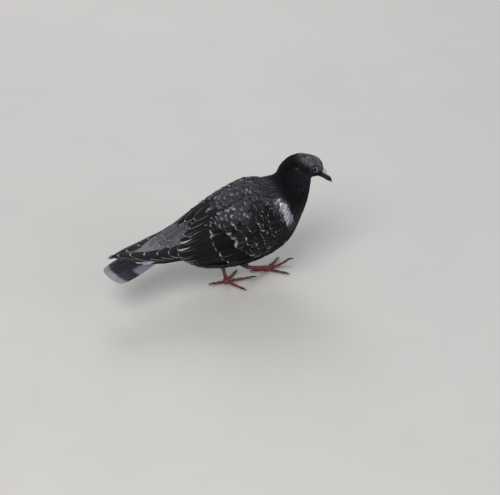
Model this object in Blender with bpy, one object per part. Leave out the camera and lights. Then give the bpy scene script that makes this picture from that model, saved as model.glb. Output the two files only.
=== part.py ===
# Still, life-size walking pigeon. Metres, +Z up, bill towards +X, its left towards +Y.
# The origin is on the floor, under the joint of the planted right foot. Tables are in millimetres.
import bpy
import bmesh
from math import sin, cos, pi, radians, copysign
from mathutils import Vector

mm = 0.001
partGap = 0.3            # clear space between neighbouring solids
ringPoints = 24          # points round the trunk
soleLevel = 0.0          # underside of every toe
midline = 2.5            # y of the plane that halves the trunk

# trunk and neck: x, sideways from the midline, z, half width, radius above and below,
# pitch and yaw of the axis in degrees
bodyStations = [
    (-66, -0.5, 69.5, 19, 10.5, 14, 0, 0),
    (-48, 0, 69.5, 26, 17, 28, 0, 0),
    (-25, 0, 70.5, 33.5, 28.5, 40, 0, 0),
    (0, 0, 74.0, 39, 40, 47, 4, 0),
    (28, 0, 79.5, 41.5, 45.5, 49, 10, 0),
    (52, 0, 86.5, 39.5, 40, 42, 24, 0),
    (68.5, -0.5, 101.0, 32.5, 29.5, 30, 40, 0),
    (78.5, -1.5, 112.5, 25, 23.5, 23.5, 52, -4),
    (86, -2.9, 127.0, 18.5, 24.8, 17, 60, -9),
    (92, -4.3, 138.0, 13, 23.2, 10.5, 60, -17),
]
neckStart = 5.7          # place along the table where neck meets trunk

# head, in its own axes: forward, top, underside, half width
headCentre = (98.5, -2.5, 138.2)
headPitch = -24          # bill points down
headYaw = -20            # and towards the right side
headStations = [
    (-27.6, -0.6, -1.8, 2.0),
    (-26.2, 0.5, -2.8, 5.0),
    (-23.0, 3.8, -5.2, 8.1),
    (-18.2, 8.4, -8.6, 10.5),
    (-12.0, 11.4, -11.6, 12.0),
    (-4.0, 12.7, -13.0, 12.3),
    (3.0, 13.8, -12.2, 12.0),
    (9.0, 12.2, -9.8, 10.3),
    (13.4, 9.2, -7.6, 7.8),
    (16.4, 5.4, -5.8, 5.0),
    (17.6, 2.4, -4.2, 2.8),
]

# bill, in the head's axes: forward, centre height, half height, half width
upperBill = [(13.5, -1.6, 2.6, 3.1), (18.0, -2.6, 2.4, 2.7), (22.4, -4.0, 1.7, 2.1),
             (26.3, -4.4, 1.9, 1.7), (30.0, -6.0, 1.9, 1.3), (32.4, -8.7, 0.7, 0.6)]
lowerBill = [(12.0, -4.8, 1.5, 2.8), (17.0, -5.4, 1.3, 2.5), (21.0, -5.9, 1.1, 2.1),
             (25.6, -7.1, 0.9, 1.6), (29.2, -8.3, 0.45, 0.8)]
cereStations = [(15.2, 2.0, 0.7, 1.6), (16.8, 2.1, 1.5, 2.9), (19.0, 1.3, 1.7, 2.7), (21.2, 0.0, 1.1, 1.9),
                (22.8, -1.4, 0.5, 0.9)]
eyeBall = dict(forward=4.4, side=8.6, height=3.6, radius=4.5)

# folded wing, right side: x, centre z, reach sideways, rise, drop, upper and lower edge angle, thickness
wingStations = [
    (65, 91, 38.0, 18, 18, 66, 112, 5.0),
    (60, 90, 41.5, 28, 29, 50, 123, 8.0),
    (48, 86, 44.5, 40, 42, 35, 123, 9.0),
    (28, 80, 46.0, 47.5, 48.5, 26, 121, 9.0),
    (0, 74.5, 43.5, 42.5, 48.5, 26, 123, 8.5),
    (-30, 69, 38.0, 32, 42, 26, 123, 7.0),
    (-60, 64, 32.0, 18.8, 24, 26, 113, 4.5),
    (-90, 62, 28.5, 12, 13, 19, 92, 3.0),
    (-118, 64, 17.5, 8.5, 6, 12, 76, 2.0),
    (-138, 67.0, 5.5, 2.6, 2, 10, 70, 1.2),
]
leftTipDrop = 5.0        # the left wing's tip hangs this much lower
leftTipTuck = 28.0       # and reaches this many degrees further in, over the tail

# tail, along its own axis: distance, half width, radius above, radius below, droop of the sides
tailYaw = 13.5             # end swings towards the right
tailPitch = 10
tailStations = [(0, 19, 10.5, 14, 0), (14, 16.5, 6.5, 8.5, 0.5), (30, 16, 3.0, 3.6, 1.2),
                (54, 19.5, 1.5, 1.5, 2.0), (70, 22.5, 1.1, 1.1, 2.5), (78, 20.5, 0.9, 0.9, 2.0),
                (83, 13.0, 0.8, 0.8, 0.8)]

# legs: joint of the foot, heel, and where the feathered part leaves the belly
rightLeg = dict(foot=(0.0, 0.0, 3.6), heel=(-5.5, -3.5, 25.0), hip=(1.0, -10.0, 47.0), thighWidth=8.5)
leftLeg = dict(foot=(52.5, 8.0, 3.6), heel=(27.0, 3.0, 12.5), hip=(6.0, 10.5, 44.0), thighWidth=8.5)
padRadius = 4.6
padHeight = 5.4
# toes: heading (degrees, 0 is forward), length without claw, claw length, lift of the tip
rightToes = dict(middle=(-3, 29.0, 7.0, 0), outer=(-57, 22.5, 6.5, 0), inner=(43, 21.0, 6.0, 0),
                 hind=(176, 15.0, 6.0, 0))
leftToes = dict(middle=(7, 28.0, 7.0, 4.5), inner=(-41, 22.0, 6.0, 0), outer=(38, 22.0, 6.0, 0.5),
                hind=(172, 14.0, 6.0, 0))
toeRadius = 2.1


def clearScene():
    for item in list(bpy.data.objects):
        bpy.data.objects.remove(item, do_unlink=True)


def makeMaterial(name, colour, roughness, metallic=0.0):
    material = bpy.data.materials.new(name)
    material.use_nodes = True
    shader = material.node_tree.nodes["Principled BSDF"]
    shader.inputs["Base Color"].default_value = (*colour, 1)
    shader.inputs["Roughness"].default_value = roughness
    shader.inputs["Metallic"].default_value = metallic
    material.diffuse_color = (*colour, 1)
    return material


def smoothRow(table, place):
    # Catmull-Rom reading of a table of rows at a fractional row number
    last = len(table) - 1
    place = min(max(place, 0.0), float(last))
    low = min(int(place), last - 1)
    t = place - low
    rows = [table[min(max(low + k, 0), last)] for k in (-1, 0, 1, 2)]
    return [b + 0.5 * t * (c - a + t * (2 * a - 5 * b + 4 * c - d + t * (3 * b - 3 * c + d - a)))
            for a, b, c, d in zip(*rows)]


def axesFor(pitch, yaw):
    p, y = radians(pitch), radians(yaw)
    forward = Vector((cos(p) * cos(y), cos(p) * sin(y), sin(p)))
    side = Vector((-sin(y), cos(y), 0))
    return forward, side, forward.cross(side)


def oval(count, width, above, below, squareness=2.15):
    # points (side, height) of a rounded outline, from the left side over the top
    points = []
    for k in range(count):
        angle = 2 * pi * k / count
        c, s = cos(angle), sin(angle)
        side = copysign(abs(c) ** (2 / squareness), c) * width
        height = copysign(abs(s) ** (2 / squareness), s) * (above if s > 0 else below)
        points.append((side, height))
    return points


def addSolid(name, rings, material, collection=None):
    # closed body through rings of equal size, ends filled with fans
    mesh = bpy.data.meshes.new(name)
    work = bmesh.new()
    rows = [[work.verts.new(Vector(p) * mm) for p in ring] for ring in rings]
    size = len(rows[0])
    for first, second in zip(rows, rows[1:]):
        for k in range(size):
            work.faces.new((first[k], first[(k + 1) % size], second[(k + 1) % size], second[k]))
    for row in (rows[0], rows[-1]):
        middle = work.verts.new(sum((v.co for v in row), Vector()) / size)
        for k in range(size):
            work.faces.new((row[k], row[(k + 1) % size], middle))
    bmesh.ops.triangulate(work, faces=work.faces)
    bmesh.ops.recalc_face_normals(work, faces=work.faces)
    work.to_mesh(mesh)
    work.free()
    item = bpy.data.objects.new(name, mesh)
    mesh.materials.append(material)
    (collection or model).objects.link(item)
    for face in mesh.polygons:
        face.use_smooth = True
    mesh.set_sharp_from_angle(angle=radians(40))
    return item


def cutBy(item, cutter):
    hole = item.modifiers.new("cut_" + cutter.name, "BOOLEAN")
    hole.object = cutter
    hole.operation = "DIFFERENCE"
    hole.solver = "EXACT"


def bodyRing(place, grow=0.0, slide=0.0, count=ringPoints):
    x, aside, z, width, above, below, pitch, yaw = smoothRow(bodyStations, place)
    forward, side, up = axesFor(pitch, yaw)
    centre = Vector((x, midline + aside, z)) + forward * slide
    return [centre + side * a + up * b for a, b in oval(count, width + grow, above + grow, below + grow)]


def headPoint(forward, side, height):
    f, s, u = axesFor(headPitch, headYaw)
    return Vector(headCentre) + f * forward + s * side + u * height


def headRings(grow=0.0, count=20):
    rings = []
    steps = 13
    for k in range(steps + 1):
        forward, top, under, width = smoothRow(headStations, k * (len(headStations) - 1) / steps)
        middle, half = (top + under) / 2, (top - under) / 2
        forward += grow * (-1 if k == 0 else 1 if k == steps else 0)
        rings.append([headPoint(forward, a, middle + b)
                      for a, b in oval(count, width + grow, half + grow, half + grow, 2.1)])
    return rings


def billRings(table, count=10, steps=8):
    rings = []
    for k in range(steps + 1):
        forward, middle, half, width = smoothRow(table, k * (len(table) - 1) / steps)
        rings.append([headPoint(forward, a, middle + b) for a, b in oval(count, width, half, half, 2.3)])
    return rings


def wingRings(side, drop, tuck, steps=16, across=8):
    rings = []
    for k in range(steps + 1):
        row = smoothRow(wingStations, k * (len(wingStations) - 1) / steps)
        x, middle, reach, rise, fall, upper, lower, thick = row
        middle -= drop * max(0.0, (-x - 40) / 98)
        upper -= tuck * min(1.0, max(0.0, (-x - 72) / 46))
        outer, inner = [], []
        for j in range(across + 1):
            t = j / across
            angle = radians(upper + (lower - upper) * t)
            taper = 0.35 + 0.65 * sin(pi * min(max(t, 0.02), 0.98)) ** 0.6      # thinner along both edges
            for points, inset in ((outer, 0.0), (inner, thick * taper)):
                high = (rise if cos(angle) > 0 else fall) - inset
                wide = side * (reach - inset)
                points.append((x, midline + wide * sin(angle), middle + high * cos(angle)))
        rings.append(outer + inner[::-1])
    return rings


def tailRings(grow=0.0, count=18, steps=13):
    f, s, u = axesFor(tailPitch, tailYaw)          # forward is towards the rump
    root = Vector(bodyStations[0][:3]) + Vector((0, midline, 0))
    rings = []
    for k in range(steps + 1):
        along, width, above, below, droop = smoothRow(tailStations, k * (len(tailStations) - 1) / steps)
        turn = min(along / 20, 1.0)
        forward, side, up = axesFor(tailPitch * turn, tailYaw * turn)
        centre = root - f * along - Vector((partGap, 0, 0)) * (1 - turn)
        rings.append([centre + side * a + up * (b - droop * (a / width) ** 2)
                      for a, b in oval(count, width + grow, above + grow, below + grow)])
    return rings


def toeRings(foot, heading, length, lift, count=10, steps=7):
    # a soft toe: waisted at its root, swollen at each joint, flat on its sole
    direction = Vector((cos(radians(heading)), sin(radians(heading)), 0))
    across = Vector((-direction.y, direction.x, 0))
    start = padRadius + partGap + 0.5
    rings = []
    for k in range(steps + 1):
        t = k / steps
        along = start + (length - start) * t
        swell = 0.86 + 0.14 * cos(2 * pi * 3 * t + pi) - 0.30 * t
        radius = toeRadius * swell * (0.72 if k == 0 else 1.0) * (0.8 if k == steps else 1.0)
        rise = lift * max(0.0, (t - 0.25) / 0.75) ** 1.6
        centre = Vector(foot) + direction * along
        centre.z = radius * 0.92 + rise
        ring = []
        for a, b in oval(count, radius, radius, radius, 2.0):
            point = centre + across * a + Vector((0, 0, b))
            point.z = max(point.z, soleLevel + rise)
            ring.append(point)
        rings.append(ring)
    return rings


def clawRings(foot, heading, length, claw, lift, count=8, steps=5):
    direction = Vector((cos(radians(heading)), sin(radians(heading)), 0))
    across = Vector((-direction.y, direction.x, 0))
    rings = []
    for k in range(steps + 1):
        t = k / steps
        radius = 1.15 * (1 - t) ** 0.7 + 0.28
        centre = Vector(foot) + direction * (length + partGap + claw * sin(1.25 * t) / sin(1.25))
        centre.z = 1.75 + lift - 1.25 * t * t
        tilt = -0.75 * t
        up = Vector((0, 0, cos(tilt))) - direction * sin(tilt) * 1.0
        rings.append([centre + across * a * 0.8 + up * b
                      for a, b in oval(count, radius, radius, radius, 2.0)])
    return rings


def legRings(start, end, radii, count=12, steps=7):
    start, end = Vector(start), Vector(end)
    forward = (end - start).normalized()
    side = Vector((0, 1, 0)) - forward * forward.y
    side.normalize()
    up = forward.cross(side)
    rings = []
    for k in range(steps + 1):
        t = k / steps
        wide, deep = smoothRow(radii, t * (len(radii) - 1))
        centre = start.lerp(end, t)
        rings.append([centre + side * a + up * b for a, b in oval(count, wide, deep, deep, 2.0)])
    return rings


def padRings(foot, count=12, steps=5):
    # the low round joint that the toes spread from, flat underneath
    x, y, z = foot
    rings = []
    for k in range(steps + 1):
        climb = k / steps
        radius = padRadius * (1 - (1.45 * climb - 0.5) ** 2) ** 0.5
        rings.append([Vector((x + radius * cos(2 * pi * j / count), y + radius * sin(2 * pi * j / count),
                              soleLevel + padHeight * climb)) for j in range(count)])
    return rings


def buildLeg(side, leg, toes):
    foot, heel = Vector(leg["foot"]), Vector(leg["heel"])
    towards = (heel - foot).normalized()
    shank = addSolid("shank_" + side, legRings(foot + Vector((0, 0, -0.5)), heel - towards * 1.0,
                     [(2.6, 2.8), (2.1, 2.3), (1.8, 2.0), (1.8, 2.1), (2.2, 2.6)]), legSkin)
    pad = addSolid("pad_" + side, padRings(foot), legSkin, cutters)
    joined = shank.modifiers.new("join_pad", "BOOLEAN")
    joined.object, joined.operation, joined.solver = pad, "UNION", "EXACT"
    hip = Vector(leg["hip"])
    down = (heel - hip).normalized()
    wide = leg["thighWidth"]
    thigh = addSolid("thigh_" + side, legRings(hip, heel - down * (partGap + 0.8),
                     [(wide * 1.5, wide * 1.7), (wide, wide * 1.3), (wide * 0.62, wide * 0.8), (3.0, 3.4)]),
                     thighFeather)
    cutBy(thigh, bodyCutter)
    heelCutter = addSolid("heel_cutter_" + side, legRings(foot, heel - towards * (1.0 - partGap),
                          [(2.9, 3.1), (2.4, 2.6), (2.1, 2.3), (2.1, 2.4), (2.5, 2.9)]), legSkin, cutters)
    cutBy(thigh, heelCutter)
    for toe, (heading, length, claw, lift) in toes.items():
        addSolid("toe_%s_%s" % (side, toe), toeRings(foot, heading, length, lift), legSkin)
        addSolid("claw_%s_%s" % (side, toe), clawRings(foot, heading, length, claw, lift), clawHorn)


clearScene()
model = bpy.data.collections.new("pigeon")
cutters = bpy.data.collections.new("pigeon_cutters")
bpy.context.scene.collection.children.link(model)
bpy.context.scene.collection.children.link(cutters)

darkFeather = makeMaterial("dark_feather", (0.035, 0.037, 0.045), 0.75)
headFeather = makeMaterial("head_feather", (0.030, 0.033, 0.040), 0.7)
neckFeather = makeMaterial("neck_feather", (0.022, 0.024, 0.026), 0.5)
wingFeather = makeMaterial("wing_feather", (0.030, 0.031, 0.036), 0.65)
tailFeather = makeMaterial("tail_feather", (0.10, 0.11, 0.13), 0.65)
thighFeather = makeMaterial("thigh_feather", (0.05, 0.055, 0.065), 0.8)
legSkin = makeMaterial("leg_skin", (0.32, 0.075, 0.06), 0.55)
clawHorn = makeMaterial("claw_horn", (0.02, 0.018, 0.018), 0.4)
billHorn = makeMaterial("bill_horn", (0.018, 0.018, 0.02), 0.4)
cereSkin = makeMaterial("cere_skin", (0.62, 0.56, 0.54), 0.7)
eyeGloss = makeMaterial("eye_gloss", (0.01, 0.008, 0.007), 0.08)

# trunk, neck and head
trunkSteps = 20
trunkRings = [bodyRing(neckStart * k / trunkSteps, slide=-partGap / 2 if k == trunkSteps else 0)
              for k in range(trunkSteps + 1)]
trunk = addSolid("trunk", trunkRings, darkFeather)
bodyCutter = addSolid("body_cutter", [bodyRing((len(bodyStations) - 1) * k / 32, grow=partGap)
                                      for k in range(33)], darkFeather, cutters)
neckEnd = len(bodyStations) - 1
neckSteps = 9
neckRings = [bodyRing(neckStart + (neckEnd - neckStart) * k / neckSteps, slide=partGap / 2 if k == 0 else 0)
             for k in range(neckSteps + 1)]
neck = addSolid("neck", neckRings, neckFeather)
head = addSolid("head", headRings(), headFeather)
headCutter = addSolid("head_cutter", headRings(grow=partGap), headFeather, cutters)
cutBy(neck, headCutter)

# bill, cere and eyes
billUpper = addSolid("bill_upper", billRings(upperBill), billHorn)
billLower = addSolid("bill_lower", billRings(lowerBill), billHorn)
cere = addSolid("cere", billRings(cereStations), cereSkin)
upperGrown = [(f, m, h + partGap, w + partGap) for f, m, h, w in upperBill]
upperCutter = addSolid("upper_cutter", billRings(upperGrown), billHorn, cutters)
cutBy(billUpper, headCutter)
cutBy(billLower, headCutter)
cutBy(billLower, upperCutter)
cutBy(cere, headCutter)
cutBy(cere, upperCutter)


def ballRings(side, radius, count=14, steps=10):
    rings = []
    for k in range(1, steps):
        angle = pi * k / steps
        rings.append([headPoint(eyeBall["forward"] + radius * sin(angle) * cos(2 * pi * j / count),
                                side * (eyeBall["side"] + radius * cos(angle)),
                                eyeBall["height"] + radius * sin(angle) * sin(2 * pi * j / count))
                      for j in range(count)])
    return rings


for sideName, sign in (("left", 1), ("right", -1)):
    addSolid("eye_" + sideName, ballRings(sign, eyeBall["radius"]), eyeGloss)
    socket = addSolid("socket_" + sideName, ballRings(sign, eyeBall["radius"] + partGap), eyeGloss, cutters)
    cutBy(head, socket)

# wings and tail
tail = addSolid("tail", tailRings(), tailFeather)
tailCutter = addSolid("tail_cutter", tailRings(grow=partGap + 0.05), tailFeather, cutters)
for sideName, sign, drop, tuck in (("left", 1, leftTipDrop, leftTipTuck), ("right", -1, 0.0, 0.0)):
    wing = addSolid("wing_" + sideName, wingRings(sign, drop, tuck), wingFeather)
    cutBy(wing, bodyCutter)
    cutBy(wing, tailCutter)

buildLeg("right", rightLeg, rightToes)
buildLeg("left", leftLeg, leftToes)

for item in cutters.objects:
    item.display_type = "WIRE"
    item.hide_render = True
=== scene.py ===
import bpy
from math import cos, pi, radians, sin
import numpy as np
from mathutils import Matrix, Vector
from mathutils.bvhtree import BVHTree


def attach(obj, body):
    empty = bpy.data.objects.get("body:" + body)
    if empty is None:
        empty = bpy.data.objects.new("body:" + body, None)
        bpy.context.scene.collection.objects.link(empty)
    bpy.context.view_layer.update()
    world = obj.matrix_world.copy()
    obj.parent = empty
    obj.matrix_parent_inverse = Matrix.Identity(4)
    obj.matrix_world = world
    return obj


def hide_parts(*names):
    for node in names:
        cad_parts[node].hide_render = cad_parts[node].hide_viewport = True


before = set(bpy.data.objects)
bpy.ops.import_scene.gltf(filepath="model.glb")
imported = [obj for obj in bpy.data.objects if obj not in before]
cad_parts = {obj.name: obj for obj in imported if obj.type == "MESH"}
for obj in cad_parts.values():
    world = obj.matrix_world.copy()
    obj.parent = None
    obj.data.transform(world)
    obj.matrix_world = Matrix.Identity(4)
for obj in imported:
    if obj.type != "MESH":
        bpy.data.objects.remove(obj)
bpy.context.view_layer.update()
mm = 0.001
midline = 2.5      # the body's middle plane, in mm along Y
print("frame loaded,", len(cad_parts), "nodes")


# small helpers; lengths are in mm until writePoints
def unit(v):
    v = np.asarray(v, float)
    return v / np.maximum(np.linalg.norm(v, axis=-1, keepdims=True), 1e-9)


def smoothStep(a, b, x):
    t = np.clip((np.asarray(x, float) - a) / (b - a), 0, 1)
    return t * t * (3 - 2 * t)


def blend(a, b, share):
    return a + (b - a) * share


def mix(a, b, share):
    # rows or colours, one share for each row
    share = np.asarray(share, float)[..., None]
    return np.asarray(a) * (1 - share) + np.asarray(b) * share


def axesFor(pitch, yaw):
    p, y = radians(pitch), radians(yaw)
    forward = Vector((cos(p) * cos(y), cos(p) * sin(y), sin(p)))
    left = Vector((-sin(y), cos(y), 0))
    return forward, left, forward.cross(left)


def pick(*pieces):
    if bpy.context.object and bpy.context.object.mode != "OBJECT":
        bpy.ops.object.mode_set(mode="OBJECT")
    bpy.ops.object.select_all(action="DESELECT")
    for piece in pieces:
        piece.select_set(True)
    if pieces:
        bpy.context.view_layer.objects.active = pieces[0]


def addModifier(piece, kind, **values):
    pick(piece)
    made = piece.modifiers.new(kind.lower(), kind)
    for key, value in values.items():
        setattr(made, key, value)
    bpy.ops.object.modifier_apply(modifier=made.name)


def intoScene(name, data):
    thing = bpy.data.objects.new(name, data)
    bpy.context.scene.collection.objects.link(thing)
    return thing


def settle():
    # the active piece's place and turn go into its mesh
    bpy.ops.object.transform_apply(location=True, rotation=True, scale=True)


def copyNode(nodeName, newName):
    # a node's mesh as a new piece, its loose corners joined
    piece = intoScene(newName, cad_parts[nodeName].data.copy())
    piece.data.materials.clear()
    pick(piece)
    bpy.ops.object.mode_set(mode="EDIT")
    bpy.ops.mesh.select_all(action="SELECT")
    bpy.ops.mesh.remove_doubles(threshold=0.00002)
    bpy.ops.mesh.normals_make_consistent(inside=False)
    bpy.ops.object.mode_set(mode="OBJECT")
    return piece


def readPoints(piece):
    out = np.empty(len(piece.data.vertices) * 3)
    piece.data.vertices.foreach_get("co", out)
    return out.reshape(-1, 3) / mm


def readNormals(piece):
    out = np.empty(len(piece.data.vertices) * 3)
    piece.data.vertex_normals.foreach_get("vector", out)
    return out.reshape(-1, 3)


def writePoints(piece, points):
    piece.data.vertices.foreach_set("co", (np.asarray(points) * mm).ravel())
    piece.data.update()


def triangles(piece):
    piece.data.calc_loop_triangles()
    out = np.empty(len(piece.data.loop_triangles) * 3, int)
    piece.data.loop_triangles.foreach_get("vertices", out)
    return out.reshape(-1, 3)


def treeOf(points, tris):
    return BVHTree.FromPolygons([tuple(p) for p in points], [tuple(t) for t in tris])


def paintPoints(piece, name, colours):
    layer = piece.data.attributes.new(name, "FLOAT_COLOR", "POINT")
    colours = np.asarray(colours, float)
    if colours.shape[1] == 3:
        colours = np.column_stack([colours, np.ones(len(colours))])
    layer.data.foreach_set("color", colours.ravel())


def paintValue(piece, name, values):
    piece.data.attributes.new(name, "FLOAT", "POINT").data.foreach_set("value", values)


def smoothShade(piece):
    pick(piece)
    bpy.ops.object.shade_smooth()


# nodes of a material
def startMaterial(name, **sockets):
    material = bpy.data.materials.new(name)
    material.use_nodes = True
    tree = material.node_tree
    shader = tree.nodes["Principled BSDF"]
    for key, value in sockets.items():
        shader.inputs[key.replace("_", " ")].default_value = value
    return material, tree, shader


def feed(tree, socket, value):
    if isinstance(value, bpy.types.NodeSocket):
        tree.links.new(value, socket)
    else:
        socket.default_value = value


def plug(tree, kind, inputs=None, **settings):
    node = tree.nodes.new("ShaderNode" + kind)
    for key, value in settings.items():
        setattr(node, key, value)
    for key, value in (inputs or {}).items():
        feed(tree, node.inputs[key], value)
    return node


def sums(tree, operation, a, b=0.0, c=0.0):
    return plug(tree, "Math", {0: a, 1: b, 2: c}, operation=operation).outputs[0]


def times(tree, a, b):
    return sums(tree, "MULTIPLY", a, b)


def scaled(tree, a, factor, shift):
    return sums(tree, "MULTIPLY_ADD", a, factor, shift)


def stepMap(tree, value, low, high, toLow=0.0, toHigh=1.0):
    return plug(tree, "MapRange", {0: value, 1: low, 2: high, 3: toLow, 4: toHigh},
                interpolation_type="SMOOTHSTEP").outputs[0]


def blendColours(tree, share, a, b, way="MIX"):
    return plug(tree, "Mix", {0: share, 6: a, 7: b}, data_type="RGBA", blend_type=way).outputs[2]


def darken(tree, colour, shade):
    grey = plug(tree, "CombineColor", {0: shade, 1: shade, 2: shade}).outputs[0]
    return blendColours(tree, 1.0, colour, grey, "MULTIPLY")


def painted(tree, name):
    return plug(tree, "Attribute", attribute_name=name).outputs


def objectPlace(tree):
    return plug(tree, "TexCoord").outputs["Object"]


def noiseMap(tree, coords, scale, detail=3.0, rough=0.55, stretch=None):
    if stretch:
        coords = plug(tree, "Mapping", {"Vector": coords, "Scale": stretch}).outputs[0]
    return plug(tree, "TexNoise", {"Vector": coords, "Scale": scale, "Detail": detail,
                                   "Roughness": rough}).outputs["Fac"]


def bumpUp(tree, shader, height, distance, strength):
    bump = plug(tree, "Bump", {"Height": height, "Distance": distance, "Strength": strength})
    tree.links.new(bump.outputs[0], shader.inputs["Normal"])


def grainyFinish(name, look):
    # a plain finish: two tones by a fine grain, with a little relief
    material, tree, shader = startMaterial(name, **look["sockets"])
    place = objectPlace(tree)
    grain = noiseMap(tree, place, *look["grain"])
    tree.links.new(blendColours(tree, grain, look["dark"], look["light"]), shader.inputs["Base Color"])
    if "rough" in look:
        tree.links.new(stepMap(tree, grain, 0.3, 0.7, *look["rough"]), shader.inputs["Roughness"])
    height = noiseMap(tree, place, *look["relief"]) if "relief" in look else grain
    if look.get("added"):
        height = sums(tree, "ADD", grain, height)
    bumpUp(tree, shader, height, *look["bump"])
    return material


# camera, light and floor
view = {"azimuth": -20, "elevation": 34, "distance": 2.5, "lens": 159.3, "sensor": 36, "clipEnd": 30,
        "aim": (0.0198, -0.0251, 0.0597)}
turn, climb = radians(view["azimuth"]), radians(view["elevation"])
backward = Vector((sin(turn) * cos(climb), -cos(turn) * cos(climb), sin(climb)))
cameraData = bpy.data.cameras.new("camera")
cameraData.lens = view["lens"]
cameraData.sensor_width = view["sensor"]
cameraData.clip_end = view["clipEnd"]
camera = intoScene("camera", cameraData)
camera.location = Vector(view["aim"]) + backward * view["distance"]
camera.rotation_euler = backward.to_track_quat("Z", "Y").to_euler()
bpy.context.scene.camera = camera

studio = {"floorSide": 7, "floorCells": 24, "world": (0.80, 0.82, 0.86, 1), "worldStrength": 0.42,
          "lampsAim": (0, 0, 0.08),
          "lamps": [((-0.9, -1.0, 1.7), 1.1, 24, (1.0, 0.97, 0.93)),       # place, size, watts, colour
                    ((1.3, -1.2, 1.1), 0.9, 6, (0.93, 0.96, 1.0)),
                    ((0.3, 1.5, 1.3), 1.0, 12, (1.0, 1.0, 1.0))]}
pick()
bpy.ops.mesh.primitive_grid_add(x_subdivisions=studio["floorCells"], y_subdivisions=studio["floorCells"],
                                size=studio["floorSide"], location=(0, 0, 0))
floor = bpy.context.object
floor.name = "floor"
material, tree, shader = startMaterial("floor_pale", Roughness=0.85)
clouds = noiseMap(tree, objectPlace(tree), 9.0)
tone = blendColours(tree, clouds, (0.60, 0.59, 0.575, 1), (0.65, 0.64, 0.62, 1))
tree.links.new(tone, shader.inputs["Base Color"])
floor.data.materials.append(material)
world = bpy.data.worlds.new("studio")
bpy.context.scene.world = world
world.use_nodes = True
world.node_tree.nodes["Background"].inputs[0].default_value = studio["world"]
world.node_tree.nodes["Background"].inputs[1].default_value = studio["worldStrength"]
for number, (spot, size, watts, tint) in enumerate(studio["lamps"]):
    lampData = bpy.data.lights.new("lamp_%d" % number, "AREA")
    lampData.size, lampData.energy, lampData.color = size, watts, tint
    lamp = intoScene("lamp_%d" % number, lampData)
    lamp.location = spot
    lamp.rotation_euler = (Vector(spot) - Vector(studio["lampsAim"])).to_track_quat("Z", "Y").to_euler()
bpy.context.scene.view_settings.view_transform = "Standard"
print("camera, lamps and floor")


# the body's own measures
headCentre = Vector((98.5, -2.5, 138.2))
headForward, headLeft, headUp = axesFor(-24, -20)


def headPoint(forward, side, height):
    return headCentre + headForward * forward + headLeft * side + headUp * height


def headPlace(points):
    # forward, side and height in the head's own axes
    away = np.asarray(points) - np.array(headCentre)
    return away @ np.array([headForward, headLeft, headUp]).T


spine = [(-140, -18, 56), (-100, -8, 63), (-66, 2, 69.5), (-25, 2.5, 70.5), (0, 2.5, 74), (28, 2.5, 79.5),
         (52, 2.5, 86.5), (68.5, 2, 101), (78.5, 1, 112.5), (86, -0.5, 126), (93, -1.6, 136.5),
         tuple(headPoint(2, 0, 1)), tuple(headPoint(12, 0, 0)), tuple(headPoint(34, 0, -8))]
spineSteps = np.linspace(0, len(spine) - 1, 120)
spinePoints = np.column_stack([np.interp(spineSteps, range(len(spine)), line) for line in zip(*spine)])
for _ in range(6):
    spinePoints[1:-1] = (spinePoints[:-2] + spinePoints[1:-1] * 2 + spinePoints[2:]) / 4
spineWay = unit(np.gradient(spinePoints, axis=0))      # points towards the bill
spineRun = np.concatenate([[0], np.cumsum(np.linalg.norm(np.diff(spinePoints, axis=0), axis=1))])

# x, axis height, reach, rise, drop of the folded wing's outer face
wingRows = np.array([(65, 91, 38, 18, 18), (60, 90, 41.5, 28, 29), (48, 86, 44.5, 40, 42),
                     (28, 80, 46, 47.5, 48.5), (0, 74.5, 43.5, 42.5, 48.5), (-30, 69, 38, 32, 42),
                     (-60, 64, 32, 18.8, 24), (-90, 62, 28.5, 12, 13), (-118, 64, 17.5, 8.5, 6),
                     (-138, 67, 5.5, 2.6, 2), (-146, 68, 3.5, 1.6, 1.5)])
# the left wing's tip lies lower and further in; near the midline both sink a little, in front and behind
wingPlan = {"drop": 5, "dropFrom": 40, "dropRun": 98, "tuck": 28, "tuckFrom": 72, "tuckRun": 46,
            "sunk": (0.055, 0.125), "sunkWide": 27}


def denseRows(rows, count=140):
    out = []
    for s in np.linspace(0, len(rows) - 1, count):
        i = min(int(s), len(rows) - 2)
        t = s - i
        p = [rows[min(max(i + k, 0), len(rows) - 1)] for k in (-1, 0, 1, 2)]
        out.append(0.5 * (2 * p[1] + (p[2] - p[0]) * t + (2 * p[0] - 5 * p[1] + 4 * p[2] - p[3]) * t * t
                          + (3 * p[1] - p[0] - 3 * p[2] + p[3]) * t ** 3))
    out = np.array(out)
    return out[np.argsort(out[:, 0])]


wingDense = denseRows(wingRows)


def wingMeasures(x, side):
    middle, reach, rise, fall = (np.interp(x, wingDense[:, 0], wingDense[:, k]) for k in range(1, 5))
    if side > 0:
        lowered = np.maximum(0, (-np.asarray(x) - wingPlan["dropFrom"]) / wingPlan["dropRun"])
        middle = middle - wingPlan["drop"] * lowered
    return middle, reach, rise, fall


def tipTuck(x, side):
    # degrees that the left wing's tip lies further in, over the tail
    share = np.clip((-np.asarray(x) - wingPlan["tuckFrom"]) / wingPlan["tuckRun"], 0, 1)
    return wingPlan["tuck"] * share * (side > 0)


def wingFace(side):
    # a point of the wing's outer face from x and degrees down from the midline
    def place(x, angle):
        middle, reach, rise, fall = wingMeasures(x, side)
        a = np.radians(angle)
        sunk = blend(*wingPlan["sunk"], smoothStep(15, -35, x))
        sunk = sunk * (1 - smoothStep(0, wingPlan["sunkWide"], np.abs(angle)))
        high = np.where(np.cos(a) > 0, rise, fall) * (1 - sunk)
        return np.stack([x + 0 * a, midline + side * reach * np.sin(a), middle + high * np.cos(a)], -1)
    return place


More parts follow.
